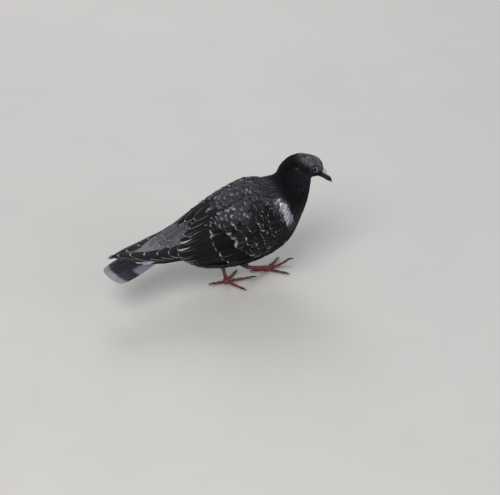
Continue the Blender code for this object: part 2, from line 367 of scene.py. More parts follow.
def wingPlace(points, side):
    points = np.asarray(points)
    middle, reach, rise, fall = wingMeasures(points[:, 0], side)
    high = points[:, 2] - middle
    across = (points[:, 1] - midline) * side / reach
    return points[:, 0], np.degrees(np.arctan2(across, high / np.where(high > 0, rise, fall)))


tailRoot = np.array((-66, 2.0, 69.5))
tailForward, tailLeft, tailUp = (np.array(axis) for axis in axesFor(10, 13.5))


def tailPoint(along, across, up):
    return (tailRoot - np.multiply.outer(along, tailForward) + np.multiply.outer(across, tailLeft)
            + np.multiply.outer(up, tailUp))


def tailFace(along, across):
    along, across = np.asarray(along, float), np.asarray(across, float)
    droop = 2.4 * (across / 19.0) ** 2 + 2.0 * smoothStep(40, 85, along)
    return tailPoint(along, across, 2.6 - droop)


# one skin under the coat
skinPlan = {"grow": 0.4, "voxel": 1.35, "smooth": 12, "head": 0.8, "neck": 1.6, "body": 2.2, "leg": 1.3,
            "ends": {"wing_left": -50.0, "wing_right": -50.0, "tail": -96.0},
            "socketEdge": 4.9, "socketDepth": 3.9, "fixes": 4, "spreads": 5, "fixRange": (-0.15, 3.0)}
fleshNodes = ["trunk", "neck", "head", "thigh_left", "thigh_right"]
parts = []
for nodeName in fleshNodes + list(skinPlan["ends"]):
    part = copyNode(nodeName, "flesh_" + nodeName)
    if nodeName in skinPlan["ends"]:      # only the front of wings and tail is flesh
        bpy.ops.object.mode_set(mode="EDIT")
        bpy.ops.mesh.select_all(action="SELECT")
        bpy.ops.mesh.bisect(plane_co=(skinPlan["ends"][nodeName] * mm, 0, 0), plane_no=(1, 0, 0),
                            use_fill=True, clear_inner=True)
        bpy.ops.object.mode_set(mode="OBJECT")
    addModifier(part, "DISPLACE", strength=skinPlan["grow"] * mm, mid_level=0.0)
    parts.append(part)
pick(*parts)
bpy.ops.object.join()
skin = bpy.context.object
skin.name = skin.data.name = "skin"
addModifier(skin, "REMESH", mode="VOXEL", voxel_size=skinPlan["voxel"] * mm)
hullTree = treeOf(readPoints(skin), triangles(skin))
addModifier(skin, "SMOOTH", factor=0.5, iterations=skinPlan["smooth"])
points, normals = readPoints(skin), readNormals(skin)
fromHead = np.linalg.norm(points - np.array(headPoint(0, 0, 0)), axis=1)
depth = blend(skinPlan["head"], skinPlan["neck"], smoothStep(14, 24, fromHead))
depth = blend(depth, skinPlan["body"], smoothStep(26, 55, fromHead))
depth = blend(depth, skinPlan["leg"], smoothStep(33, 24, points[:, 2]))
wanted = -(depth + skinPlan["grow"])
writePoints(skin, points + normals * wanted[:, None])
addModifier(skin, "SMOOTH", factor=0.5, iterations=4)
edges = np.array([e.vertices[:] for e in skin.data.edges])
linked = np.bincount(edges.ravel(), minlength=len(wanted))
for _ in range(skinPlan["fixes"]):      # smoothing shrinks: places go back to their depth under the outline
    points, normals = readPoints(skin), readNormals(skin)
    short = np.empty(len(points))
    for n, point in enumerate(points):
        spot, way, _, _ = hullTree.find_nearest(Vector(point))
        short[n] = wanted[n] - (Vector(point) - spot).dot(way)
    short = np.clip(short, *skinPlan["fixRange"])
    for _ in range(skinPlan["spreads"]):
        total = sum(np.bincount(edges[:, k], short[edges[:, 1 - k]], len(short)) for k in (0, 1))
        short = (short + total / linked) / 2
    writePoints(skin, points + normals * short[:, None])

# sockets round the eyes
eyePlan = {"forward": 4.4, "side": 8.6, "height": 3.6}
points = readPoints(skin)
for side in (1, -1):
    eyeCentre = np.array(headPoint(eyePlan["forward"], eyePlan["side"] * side, eyePlan["height"]))
    away = points - eyeCentre
    far = np.linalg.norm(away, axis=1)
    near = far < skinPlan["socketEdge"]
    points[near] = eyeCentre + unit(away[near]) * np.minimum(far[near], skinPlan["socketDepth"])[:, None]
writePoints(skin, points)
smoothShade(skin)
skinPoints, skinTris = readPoints(skin), triangles(skin)
skinNormals = readNormals(skin)
skinFaceNormals = unit(skinNormals[skinTris].sum(1))
skinTree = treeOf(skinPoints, skinTris)
print("skin,", len(skinTris), "triangles")

# which part of the body lies over a place on the skin
regionNames = ["trunk", "neck", "head", "wing_left", "wing_right", "thigh_left", "thigh_right", "tail"]
regionTrees = []
for nodeName in regionNames:
    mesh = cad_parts[nodeName].data
    mesh.calc_loop_triangles()
    regionTrees.append(treeOf([v.co / mm for v in mesh.vertices], [t.vertices for t in mesh.loop_triangles]))


def regionsOf(points):
    far = [[tree.find_nearest(Vector(p))[3] for p in points] for tree in regionTrees]
    return np.argmin(np.array(far), axis=0)


def alongSpine(points):
    # the run along the spine from the tail, the way towards the bill, and the turn round it
    gap = np.linalg.norm(points[:, None, :] - spinePoints[None], axis=2)
    weight = 1 / (gap ** 2 + 6) ** 4
    weight /= weight.sum(1, keepdims=True)
    run, way, centre = weight @ spineRun, unit(weight @ spineWay), weight @ spinePoints
    out = unit(points - centre)
    up = unit(np.array([0, 0, 1.0]) - way * way[:, 2:])
    left = np.cross(up, way)
    return run, way, np.degrees(np.arctan2((out * left).sum(1), (out * up).sum(1)))


# vane shapes
def selectPoints(piece, wanted, kind="VERT"):
    bpy.ops.mesh.select_mode(type="VERT")
    bpy.ops.mesh.select_all(action="DESELECT")
    bpy.ops.object.mode_set(mode="OBJECT")
    for vertex, chosen in zip(piece.data.vertices, wanted):
        vertex.select = bool(chosen)
    bpy.ops.object.mode_set(mode="EDIT")
    if kind == "EDGE":
        bpy.ops.mesh.select_mode(type="EDGE")


def makeVane(name, rows, columns, plate=0.0):
    # rows: share of the length and half width; closed below as a wedge, or as a thin plate
    pick()
    bpy.ops.mesh.primitive_grid_add(x_subdivisions=columns, y_subdivisions=len(rows) - 1, size=2,
                                    location=(0, 0, 0))
    vane = bpy.context.object
    vane.name = name
    start = np.array([v.co[:] for v in vane.data.vertices])
    across = start[:, 0]
    rowOf = np.rint((start[:, 1] + 1) / 2 * (len(rows) - 1)).astype(int)
    along = np.array([rows[k][0] for k in rowOf])
    bpy.ops.object.mode_set(mode="EDIT")
    for k, (share, half) in enumerate(rows):
        selectPoints(vane, rowOf == k)
        bpy.ops.transform.resize(value=(half, 1, 1))
        bpy.ops.transform.translate(value=(0, share - (2 * k / (len(rows) - 1) - 1), 0))
    for k in range(columns + 1):
        u = -1 + 2 * k / columns
        selectPoints(vane, np.abs(across - u) < 0.01)
        bpy.ops.transform.translate(value=(0, 0, 1 - abs(u) ** 1.6))
    bpy.ops.object.mode_set(mode="OBJECT")
    if plate:
        addModifier(vane, "SOLIDIFY", thickness=plate, offset=-1)
        across, along = np.tile(across, 2), np.tile(along, 2)
    bpy.ops.object.mode_set(mode="EDIT")
    if not plate:
        selectPoints(vane, np.abs(across) > 0.99, "EDGE")
        bpy.ops.mesh.bridge_edge_loops()
        bpy.ops.mesh.select_all(action="SELECT")
        bpy.ops.mesh.fill_holes(sides=0)
    bpy.ops.mesh.select_all(action="SELECT")
    bpy.ops.mesh.normals_make_consistent(inside=False)
    bpy.ops.mesh.quads_convert_to_tris()
    bpy.ops.object.mode_set(mode="OBJECT")
    shape = np.array([v.co[:] for v in vane.data.vertices])
    if plate:      # the lower face lies straight under the upper one
        half = len(shape) // 2
        shape[half:] = shape[:half] * (0.97, 1, 1) - (0, 0, plate)
    made = {"points": shape, "tris": triangles(vane), "across": across, "along": along}
    bpy.data.objects.remove(vane)
    return made


# outlines: share of the length, share of the half width
plumeEdge = [(0, 0.35), (0.3, 0.8), (0.55, 1.0), (0.75, 0.95), (0.9, 0.66), (1.0, 0.16)]
fineEdge = [(0, 0.5), (0.4, 1.0), (0.75, 0.85), (1.0, 0.12)]
backEdge = [(0, 0.45), (0.3, 0.85), (0.55, 1.0), (0.74, 0.95), (0.88, 0.74), (0.96, 0.44), (1.0, 0.12)]
covertEdge = [(0, 0.5), (0.2, 0.8), (0.42, 0.96), (0.62, 1.0), (0.76, 0.95), (0.87, 0.80), (0.95, 0.54),
              (0.99, 0.26), (1.0, 0.10)]
quillEdge = [(0, 0.42), (0.12, 0.62), (0.25, 0.8), (0.4, 0.93), (0.52, 0.99), (0.62, 1.0), (0.70, 0.985),
             (0.77, 0.95), (0.83, 0.89), (0.88, 0.80), (0.92, 0.69), (0.955, 0.54), (0.98, 0.38),
             (0.994, 0.22), (1.0, 0.08)]
plumeVane = makeVane("vane_plume", plumeEdge, 2)
finePlume = makeVane("vane_fine", fineEdge, 2)
backVane = makeVane("vane_back", backEdge, 4)
covertVane = makeVane("vane_covert", covertEdge, 4, 0.35)
quillVane = makeVane("vane_quill", quillEdge, 6, 0.3)
print("vane shapes")


def joinVanes(name, vane, points, bake, inks, hems, marks):
    # one set of corners, a ground colour, a pale edge and marks for each feather
    count, corners = points.shape[:2]
    tris = (vane["tris"][None] + (np.arange(count) * corners)[:, None, None]).reshape(-1, 3)
    mesh = bpy.data.meshes.new(name)
    mesh.vertices.add(count * corners)
    mesh.loops.add(len(tris) * 3)
    mesh.polygons.add(len(tris))
    mesh.vertices.foreach_set("co", (points.reshape(-1, 3) * mm).ravel())
    mesh.polygons.foreach_set("loop_start", np.arange(0, len(tris) * 3, 3))
    mesh.loops.foreach_set("vertex_index", tris.ravel())
    mesh.polygons.foreach_set("use_smooth", np.ones(len(tris), bool))
    mesh.update(calc_edges=True)
    uv = np.column_stack([vane["across"] / 2 + 0.5, vane["along"]])
    mesh.uv_layers.new(name="vane").data.foreach_set("uv", np.tile(uv, (count, 1))[tris.ravel()].ravel())
    mesh.uv_layers.new(name="OFBake").data.foreach_set("uv", bake.reshape(-1, 2)[tris.ravel()].ravel())
    mesh.uv_layers.active = mesh.uv_layers["vane"]
    mesh.uv_layers["vane"].active_render = True
    piece = intoScene(name, mesh)
    for label, values in (("ink", inks), ("hem", hems), ("extra", marks)):
        paintPoints(piece, label, np.repeat(values, corners, axis=0))
    return piece


def tuftPatches(vane, places):
    # each tuft's patch at its root's place, the places spread over the whole map
    size = 0.003
    places = (places - places.min(0)) / np.maximum(np.ptp(places, axis=0), 1e-9)
    places = size + places * (1 - 2 * size)
    patch = np.column_stack([vane["across"] / 2, vane["along"] - 0.5]) * size
    return places[:, None, :] + patch[None]


# markings, shared by skin and coat
ink = {"head": (0.012, 0.0125, 0.0155), "crown": (0.185, 0.188, 0.205), "cheek": (0.040, 0.050, 0.066),
       "neck": (0.0030, 0.0032, 0.0042), "neckGreen": (0.0032, 0.0056, 0.0056),
       "neckPurple": (0.0070, 0.0044, 0.0080),
       # the belly's ink is its own dark slate made darker still: painted shade for the underside of the body
       # and tail
       "breast": (0.022, 0.018, 0.022), "belly": (0.0050, 0.0052, 0.0068), "mantle": (0.0390, 0.0390, 0.0500),
       "covert": (0.0055, 0.0052, 0.0058), "shield": (0.0150, 0.0140, 0.0165), "rump": (0.178, 0.188, 0.212),
       "white": (0.60, 0.61, 0.67), "frost": (0.200, 0.200, 0.225), "tailBase": (0.210, 0.230, 0.280),
       "quill": (0.0092, 0.0086, 0.0090), "thigh": (0.020, 0.021, 0.026), "streak": (0.20, 0.20, 0.215),
       "heelTuft": (0.085, 0.085, 0.092), "halo": (0.075, 0.085, 0.110)}
ink = {key: np.array(value) for key, value in ink.items()}
# middle line of the white patch on the shoulder
shoulderPatch = np.array([(50.7, -24.5, 116.7), (55.4, -24.8, 114.4), (58.8, -28.7, 109.4),
                          (60.9, -32.8, 103.4), (64.9, -35.3, 93.2), (69.1, -31.2, 82.8)])


def farFromPatch(points, side):
    # distance from the shoulder patch's middle line, on one side or the other
    line = shoulderPatch.copy()
    line[:, 1] = midline + (line[:, 1] - midline) * -side
    best = np.full(len(points), 1e9)
    for a, b in zip(line[:-1], line[1:]):
        t = np.clip(((points - a) @ (b - a)) / ((b - a) @ (b - a)), 0, 1)
        best = np.minimum(best, np.linalg.norm(points - a - t[:, None] * (b - a), axis=1))
    return best


def cloud(points, scale, seed):
    # a soft field of values about 0, from a few waves
    rng = np.random.default_rng(seed)
    out = np.zeros(len(points))
    for _ in range(7):
        wave = unit(rng.normal(size=3)) * scale * rng.uniform(0.6, 1.7)
        out += np.sin(points @ wave + rng.uniform(0, 6.3))
    return out / 2.6


# where each marking fades in: from and to, in mm of a height or a run, or in degrees
markPlan = {"crown": (2.5, 10), "breastHigh": (108, 90), "breastFront": (60, 74), "backHigh": (92, 106),
            "backRun": (72, 52), "bellyRun": (40, 66), "rumpRun": (-40, -50), "rumpHigh": (66, 74),
            "neckRun": (58, 72), "headRun": (-22, -13), "headHigh": (-19, -10), "heelHigh": (26, 15),
            "tailSide": (66, 58), "wingTop": (62, 30), "haloFar": (8.5, 4.0), "haloRun": (48, 54),
            "patchHigh": (117, 108), "patchFoot": (83, 91), "patchWide": (2.0, 4.5), "patchFrom": 44}


def fade(key, measure):
    return smoothStep(*markPlan[key], measure)


def markings(points, regions):
    # the ground colour of the coat at each place, before each feather's own edge
    x, _, z = points.T
    name = np.array(regionNames)[regions]
    grain, fine = cloud(points, 0.5, 1), cloud(points, 1.1, 2)
    forward, _, high = headPlace(points).T
    top = fade("crown", high + 0.16 * forward + 1.0) * (0.68 + 0.42 * fine)
    headInk = mix(ink["head"], ink["crown"], np.clip(top, 0, 1) * 0.9)
    cheek = np.exp(-((forward - 4) ** 2 + (high + 6.5) ** 2) / 22) * np.clip(0.55 + 0.8 * fine, 0, 1)
    headInk = mix(headInk, ink["cheek"], cheek * 0.85)
    behind = forward + 13.6      # a pale streak over the ear
    streak = np.exp(-((behind / 2.6) ** 2 + ((high + 2.6 - 0.18 * behind) / 0.8) ** 2))
    headInk = mix(headInk, ink["streak"], streak * 0.55)
    sheen = cloud(points, 0.13, 4)
    neckInk = mix(ink["neck"], ink["neckGreen"], smoothStep(0.0, 0.9, sheen))
    neckInk = mix(neckInk, ink["neckPurple"], smoothStep(0.1, 0.9, -sheen))
    throat = np.exp(-((forward - 2) ** 2 / 40 + (high + 15) ** 2 / 60)) * np.clip(fine, 0, 1)
    neckInk = mix(neckInk, ink["cheek"], throat * 0.7)
    low = fade("breastHigh", z) * fade("breastFront", x)
    neckInk = mix(neckInk, ink["breast"], np.clip(low, 0, 1))
    back = fade("backHigh", z) * fade("backRun", x)
    # behind the breast the underside takes the belly's ink, which holds painted shade
    trunkInk = mix(mix(ink["belly"], ink["breast"], fade("bellyRun", x) * 0.7), ink["mantle"], back)
    rump = fade("rumpRun", x) * fade("rumpHigh", z)
    trunkInk = mix(trunkInk, ink["rump"] * 0.6, rump * (0.80 + 0.20 * np.clip(grain, -1, 1)))
    neckShare = fade("neckRun", x + 0.35 * (z - 100)) * (name != "tail")
    colour = mix(trunkInk, neckInk, neckShare)
    ofHead = fade("headRun", forward) * fade("headHigh", high)
    colour = mix(colour, headInk, ofHead * np.isin(name, ("head", "neck")))
    onThigh = np.char.startswith(name, "thigh")
    colour[onThigh] = mix(ink["thigh"], ink["heelTuft"], fade("heelHigh", z))[onThigh]
    # the tail's lower side takes the belly's ink too, with its painted shade
    tailInk = mix(ink["rump"], ink["belly"], fade("tailSide", z + 0.12 * (x + 66)))
    colour[name == "tail"] = tailInk[name == "tail"]
    for side, label in ((1, "wing_left"), (-1, "wing_right")):
        angle = wingPlace(points, side)[1]
        wing = mix(ink["shield"], ink["mantle"], fade("wingTop", angle))
        wing = mix(wing, ink["covert"], smoothStep(-0.3, 0.8, grain))
        colour[name == label] = wing[name == label]
    for side in (1, -1):
        far = farFromPatch(points, side) + 0.7 * grain
        around = fade("haloFar", far) * fade("haloRun", x)
        colour = mix(colour, ink["halo"], around * np.clip(0.75 + 0.25 * fine, 0, 1))
        width = np.maximum(blend(*markPlan["patchWide"], fade("patchHigh", z)) * fade("patchFoot", z), 0.2)
        inside = smoothStep(1.0, 0.0, far / width - 0.6) * (x > markPlan["patchFrom"])
        colour = mix(colour, ink["white"], inside)
    return np.clip(colour * (1 + 0.14 * grain[:, None]), 0.002, 1)


# roots and the lie of the coat
rng = np.random.default_rng(7)
cornerA, cornerB, cornerC = (skinPoints[skinTris[:, k]] for k in range(3))
area = np.linalg.norm(np.cross(cornerB - cornerA, cornerC - cornerA), axis=1) / 2
print("skin area in square mm:", round(area.sum()))


def throwPoints(count):
    tri = rng.choice(len(skinTris), count, p=area / area.sum())
    a, b = rng.random(count), rng.random(count)
    a, b = (np.where(a + b > 1, 1 - share, share)[:, None] for share in (a, b))
    first = cornerA[tri]
    return first + a * (cornerB[tri] - first) + b * (cornerC[tri] - first), skinFaceNormals[tri]


def thinOut(points, spacing):
    # keeps points no nearer to each other than their spacing
    cell = spacing.max()
    keys = np.floor(points / cell).astype(int)
    kept, grid = [], {}
    steps = [(i, j, k) for i in (-1, 0, 1) for j in (-1, 0, 1) for k in (-1, 0, 1)]
    for n in range(len(points)):
        x, y, z = keys[n]
        px, py, pz = points[n]
        least = spacing[n] ** 2
        clear = True
        for i, j, k in steps:
            for qx, qy, qz in grid.get((x + i, y + j, z + k), ()):
                if (px - qx) ** 2 + (py - qy) ** 2 + (pz - qz) ** 2 < least:
                    clear = False
                    break
            if not clear:
                break
        if clear:
            kept.append(n)
            grid.setdefault((x, y, z), []).append((px, py, pz))
    return np.array(kept, int)


legWays = {"thigh_right": unit((-6.5, 6.5, -22.0)), "thigh_left": unit((21.0, -7.5, -31.5))}
liePlan = {"sag": -0.22, "sagHigh": (100, 60), "dip": 4, "steeper": 38}


def lieOf(points, normals, regions):
    # the way the feathers lie, from root to tip
    flow = -alongSpine(points)[1]
    flow = flow + np.array([0, 0, liePlan["sag"]]) * smoothStep(*liePlan["sagHigh"], points[:, 2:])
    name = np.array(regionNames)[regions]
    for side, label in ((1, "wing_left"), (-1, "wing_right")):
        x, angle = wingPlace(points, side)
        place = wingFace(side)
        back = unit(place(x - 1, angle) - place(x + 1, angle))
        down = unit(place(x, angle + 2) - place(x, angle - 2))
        steep = smoothStep(-35, 25, x) * smoothStep(35, 95, angle) * smoothStep(66, 40, x)
        dip = np.radians(liePlan["steeper"] * steep + liePlan["dip"])[:, None]
        wingFlow = back * np.cos(dip) + down * np.sin(dip)
        flow[name == label] = wingFlow[name == label]
    for label, direction in legWays.items():
        flow[name == label] = direction
    flow = flow - normals * (flow * normals).sum(1, keepdims=True)
    return unit(flow)


coatPlan = {        # spacing, length, half width, lift of the tip, all in mm
    "head": (1.02, 4.2, 0.95, 0.85), "face": (0.74, 2.0, 0.60, 0.4), "nape": (1.25, 5.6, 1.2, 1.3),
    "breast": (2.5, 12.0, 2.8, 2.3), "trunk": (2.75, 13.0, 3.1, 2.35), "mantle": (3.5, 15.0, 4.0, 2.3),
    "scapular": (4.4, 18.0, 5.2, 2.5), "rump": (3.2, 16.0, 4.0, 1.9), "patch": (2.0, 12.0, 2.7, 1.7),
    "wing": (2.7, 10.0, 2.9, 2.35), "thigh": (1.7, 7.0, 1.7, 1.5), "tail": (3.2, 17.0, 4.0, 1.9)}
# where the sizes change, in mm: distances, heights and runs
sizePlan = {"faceReach": (15, 4), "neckReach": (22, 60), "rumpRun": -30, "rumpHigh": 74,
            "upperHigh": (92, 100), "upperRun": 56, "scapularFront": (44, 20), "scapularBack": (-30, -12),
            "patchReach": 9}


def coatSizes(points, regions):
    name, x = np.array(regionNames)[regions], points[:, 0]
    out = np.zeros((len(points), 4))
    for key in ("head", "trunk", "wing", "thigh", "tail"):
        out[np.char.startswith(name, key)] = coatPlan[key]
    # sizes grow evenly from the face down the neck
    isHead, isNeck = name == "head", name == "neck"
    face = np.linalg.norm(points - np.array(headPoint(17, 0, -3)), axis=1)
    face = smoothStep(*sizePlan["faceReach"], face)
    out[isHead] = mix(out, coatPlan["face"], face)[isHead]
    grow = smoothStep(*sizePlan["neckReach"], np.linalg.norm(points - np.array(headCentre), axis=1))
    out[isNeck] = mix(coatPlan["nape"], coatPlan["breast"], grow)[isNeck]
    isRump = (name == "trunk") & (x < sizePlan["rumpRun"]) & (points[:, 2] > sizePlan["rumpHigh"])
    out[isRump] = coatPlan["rump"]
    upper = smoothStep(*sizePlan["upperHigh"], points[:, 2]) * (name == "trunk") * (x < sizePlan["upperRun"])
    out = mix(out, coatPlan["mantle"], upper)
    upper = upper * smoothStep(*sizePlan["scapularFront"], x) * smoothStep(*sizePlan["scapularBack"], x)
    out = mix(out, coatPlan["scapular"], upper)
    for side in (1, -1):
        out[farFromPatch(points, side) < sizePlan["patchReach"]] = coatPlan["patch"]
    return out


# share of a feather behind its root, how far it may stray or turn on the skin, curve of its rise
layPlan = {"behind": 0.08, "stray": 0.42, "strayMore": 1.2, "turn": 0.15, "curve": 0.85}


def layOnSkin(vane, roots, normals, flows, lengths, widths, lifts, thick):
    # each corner of each feather set down on the skin, rising towards its tip
    sides = np.cross(flows, normals)
    shape, along = vane["points"], vane["along"]
    flat = (roots[:, None] + sides[:, None] * (shape[:, 0][None, :, None] * widths[:, None, None])
            + flows[:, None] * ((shape[:, 1] - layPlan["behind"])[None, :, None] * lengths[:, None, None]))
    spots, faces = np.empty_like(flat), np.empty(flat.shape[:2], int)
    near = skinTree.find_nearest
    for n in range(len(flat)):
        for k in range(len(along)):
            spots[n, k], _, faces[n, k], _ = near(Vector(flat[n, k]))
    outward = skinFaceNormals[faces]
    allowed = layPlan["stray"] * lengths + layPlan["strayMore"]
    straying = np.linalg.norm(spots - flat, axis=2).max(1) > allowed
    turning = (outward * normals[:, None]).sum(2).min(1) < layPlan["turn"]
    rise = lifts[:, None] * along[None] ** layPlan["curve"] + shape[:, 2][None] * thick[:, None]
    return spots + outward * rise[:, :, None], ~(straying | turning)


print("coat functions")


# finishes of the feathers
def vaneNodes(tree):
    # the feather's own map: place across with its sign, distance from the shaft, place along
    vane = plug(tree, "UVMap", uv_map="vane").outputs[0]
    split = plug(tree, "SeparateXYZ", {0: vane})
    signed = scaled(tree, split.outputs[0], 2.0, -1.0)
    return vane, signed, sums(tree, "ABSOLUTE", signed), split.outputs[1]


def barbRelief(tree, shader, across, along, barbs, lean, shaft, ridge, depth):
    slant = scaled(tree, along, barbs, times(tree, across, -lean))
    waves = sums(tree, "SINE", times(tree, slant, 2 * pi))
    bumpUp(tree, shader, scaled(tree, stepMap(tree, across, *shaft), ridge, waves), depth, 0.6)


def plumeFinish(name, hemFrom, hemWidth, sideShare, barbs, gloss):
    material, tree, shader = startMaterial(name, Roughness=0.6, Specular_IOR_Level=gloss)
    edge = painted(tree, "hem")
    marks = plug(tree, "SeparateColor", {0: painted(tree, "extra")["Color"]}).outputs
    vane, signed, across, along = vaneNodes(tree)
    place = objectPlace(tree)
    fray = noiseMap(tree, place, 900.0, 3.0)
    frayed = scaled(tree, fray, 0.10, sums(tree, "SUBTRACT", along, 0.05))
    tip = stepMap(tree, frayed, hemFrom, min(hemFrom + hemWidth, 0.995))
    side = times(tree, stepMap(tree, across, 0.78, 0.96), stepMap(tree, along, 0.45, 0.85))
    hem = times(tree, sums(tree, "MAXIMUM", tip, times(tree, side, sideShare)), edge["Alpha"])
    colour = blendColours(tree, hem, painted(tree, "ink")["Color"], edge["Color"])
    # a ragged whitish mark near the tip, on one half of some feathers
    half = stepMap(tree, times(tree, signed, scaled(tree, marks[1], 2.0, -1.0)), 0.0, 0.45)
    ragged = stepMap(tree, scaled(tree, fray, 0.5, along), 1.02, 1.16)
    spot = times(tree, times(tree, half, ragged), marks[0])
    colour = blendColours(tree, spot, colour, (0.50, 0.50, 0.54, 1))
    streaks = noiseMap(tree, vane, 6.0, 2.0, stretch=(9.0, 1.0, 1.0))
    wide = noiseMap(tree, place, 260.0, 4.0)
    shade = times(tree, scaled(tree, streaks, 0.7, 0.65), scaled(tree, wide, 0.8, 0.6))
    tree.links.new(darken(tree, colour, shade), shader.inputs["Base Color"])
    tree.links.new(stepMap(tree, wide, 0.3, 0.75, 0.5, 0.72), shader.inputs["Roughness"])
    barbRelief(tree, shader, across, along, barbs, barbs * 0.35, (0.10, 0.02), 1.5, 0.00006)
    return material


plumeLook = {        # name, start of the pale edge, its width, its share at the sides, barbs, gloss
    "plume": ("plume_slate", 0.84, 0.12, 0.55, 14, 0.08),
    "neck": ("plume_neck_gloss", 0.86, 0.12, 0.55, 12, 0.12),
    "head": ("plume_head", 0.80, 0.12, 0.55, 8, 0.10),
    "covert": ("plume_covert", 0.925, 0.05, 0.6, 24, 0.10),
    "back": ("plume_back", 0.86, 0.08, 0.75, 24, 0.10)}
finishes = {key: plumeFinish(*look) for key, look in plumeLook.items()}


# the small feathers
hemPlan = {"plain": 0.14, "mantle": (0.10, 0.90), "rear": (0.35, 0.65), "crown": (0.25, 0.75), "face": 0.05,
           "neck": 0.05, "wing": (0.15, 0.85), "headTone": 0.5, "tone": 0.8, "mantleTone": 1.35}


def varied(key, share):
    least, more = hemPlan[key]
    return least + more * share


def hemsFor(points, regions, inks, rng):
    # the pale edge of each feather: colour, and strength as the fourth value
    x, z = points[:, 0], points[:, 2]
    name = np.array(regionNames)[regions]
    lot = rng.random(len(points))
    mantle = (z > 96) & (x > -32) & (x < 60) & (name != "neck")
    strength = np.where(mantle, varied("mantle", lot ** 1.5), hemPlan["plain"])
    strength = np.where((x < -36) & (z > 62), varied("rear", lot), strength)
    crown = smoothStep(1, 8, headPlace(points)[:, 2])
    strength = np.where(name == "head", varied("crown", lot) * crown + hemPlan["face"], strength)
    strength = np.where(name == "neck", hemPlan["neck"], strength)
    strength = np.where(np.char.startswith(name, "wing"), varied("wing", lot ** 2), strength)
    frosted = np.where(name == "head", hemPlan["headTone"], hemPlan["tone"])
    pale = mix(inks * 2.2 + 0.010, ink["frost"], frosted)
    pale = np.maximum(pale, inks) * np.where(mantle, hemPlan["mantleTone"], 1.0)[:, None]
    return np.column_stack([pale, strength])


growPlan = {"eyeClear": 4.2, "swing": 7, "vary": (0.88, 1.12), "thick": 0.16, "shownAt": 0.62,
            "tone": (0.82, 1.18), "marksOnBack": 0.23, "marksOnWing": 0.02, "marksOnShoulder": 0.14}


def finishPiece(piece, material, slotName, *replaced):
    piece.data.materials.append(material)
    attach(piece, "root")
    if replaced:
        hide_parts(*replaced)
    print(piece.name + ":", len(piece.data.polygons), "faces")


def growCoat(name, slotName, wanted, finish, vane, candidates):
    roots, normals, regions = (values[wanted(candidates[0], candidates[2])] for values in candidates)
    sizes = coatSizes(roots, regions)
    kept = thinOut(roots, sizes[:, 0])
    roots, normals, regions, sizes = roots[kept], normals[kept], regions[kept], sizes[kept]
    for side in (1, -1):      # clear of the eyes
        eye = np.array(headPoint(eyePlan["forward"] + 0.4, (eyePlan["side"] + 3.2) * side, eyePlan["height"]))
        clear = np.linalg.norm(roots - eye, axis=1) > growPlan["eyeClear"]
        roots, normals, regions, sizes = roots[clear], normals[clear], regions[clear], sizes[clear]
    flows = lieOf(roots, normals, regions)
    local = np.random.default_rng(len(roots))
    swing = np.radians(local.normal(0, growPlan["swing"], len(roots)))[:, None]
    flows = unit(flows * np.cos(swing) + np.cross(normals, flows) * np.sin(swing))
    vary = local.uniform(*growPlan["vary"], (3, len(roots)))
    lengths, widths, lifts = (sizes[:, k + 1] * vary[k] for k in range(3))
    points, good = layOnSkin(vane, roots, normals, flows, lengths, widths, lifts,
                             growPlan["thick"] * sizes[:, 2] / 2.5 + 0.06)
    points, roots, regions = points[good], roots[good], regions[good]
    # each feather takes its colour from where it shows
    shown = roots + flows[good] * (sizes[good, 1] * growPlan["shownAt"])[:, None]
    inks = markings(shown, regions) * local.uniform(*growPlan["tone"], (len(roots), 1))
    run, _, turned = alongSpine(roots)
    bake = tuftPatches(vane, np.column_stack([turned, run]))
    lot = local.random((3, len(roots)))
    x, z = shown[:, 0], shown[:, 2]
    onBack = (z > 92) & (x > -34) & (x < 46) & (regions == regionNames.index("trunk"))
    onWing = np.char.startswith(np.array(regionNames)[regions], "wing")
    onShoulder = onWing & (z > 84) & (x > -20)
    chance = (growPlan["marksOnBack"] * onBack + growPlan["marksOnWing"] * onWing
              + growPlan["marksOnShoulder"] * onShoulder)
    chance = chance * (smoothStep(-0.2, 0.5, cloud(shown, 0.16, 12)) * 1.6 + 0.2)
    marks = np.column_stack([(lot[0] < chance) * (0.3 + 0.6 * lot[1]), lot[2] > 0.5, lot[1]])
    piece = joinVanes(name, vane, points, bake, inks, hemsFor(shown, regions, inks, local), marks)
    finishPiece(piece, finish, slotName)


# lines of the covert rows: degrees down from the midline, and x
rowLines = {"greater": [(0, -14), (17, -20), (46, -29), (67, -29), (81, -27), (94, -23), (111, -17.6),
                        (122, -10.7), (130, -5)],
            "median": [(0, -6), (20, -14), (32, -17.5), (42, -17), (48, -15.5), (61, -11), (75, -6),
                       (91, 1.6), (106, 9.3), (118, 17.5), (128, 25)],
            "front": [(0, 8), (15, 22), (32, 40), (48, 52), (61, 58), (73, 60), (91, 60), (106, 58),
                      (118, 54), (128, 48)]}
rowLines = {key: np.array(line, float).T for key, line in rowLines.items()}


def rowAt(angle, share):
    # x of a row, its share counted from the median coverts' line to the front
    return blend(np.interp(angle, *rowLines["median"]), np.interp(angle, *rowLines["front"]), share)


def frontOfRows(points, share):
    # true ahead of the row that has this share
    out = np.ones(len(points), bool)
    for side in (1, -1):
        x, angle = wingPlace(points, side)
        mine = (points[:, 1] - midline) * side >= 0
        out &= ~mine | (x > rowAt(angle, share))
    return out


spotPlan = {"body": 150000, "head": 260000, "headReach": 27}
coatEdges = {"rump": -34, "mantleFloor": 90, "rumpFloor": 72, "lastRow": 0.66}
spots, spotNormals = throwPoints(spotPlan["body"])
everywhere = (spots, spotNormals, regionsOf(spots))
extraHead, extraNormals = throwPoints(spotPlan["head"])
nearHead = np.linalg.norm(extraHead - np.array(headCentre), axis=1) < spotPlan["headReach"]
headSpots = (extraHead[nearHead], extraNormals[nearHead], regionsOf(extraHead[nearHead]))


def regionIs(*labels):
    wantedIds = [regionNames.index(label) for label in labels]
    return lambda points, regions: np.isin(regions, wantedIds)


def aheadOfRump(points):
    return points[:, 0] > coatEdges["rump"]


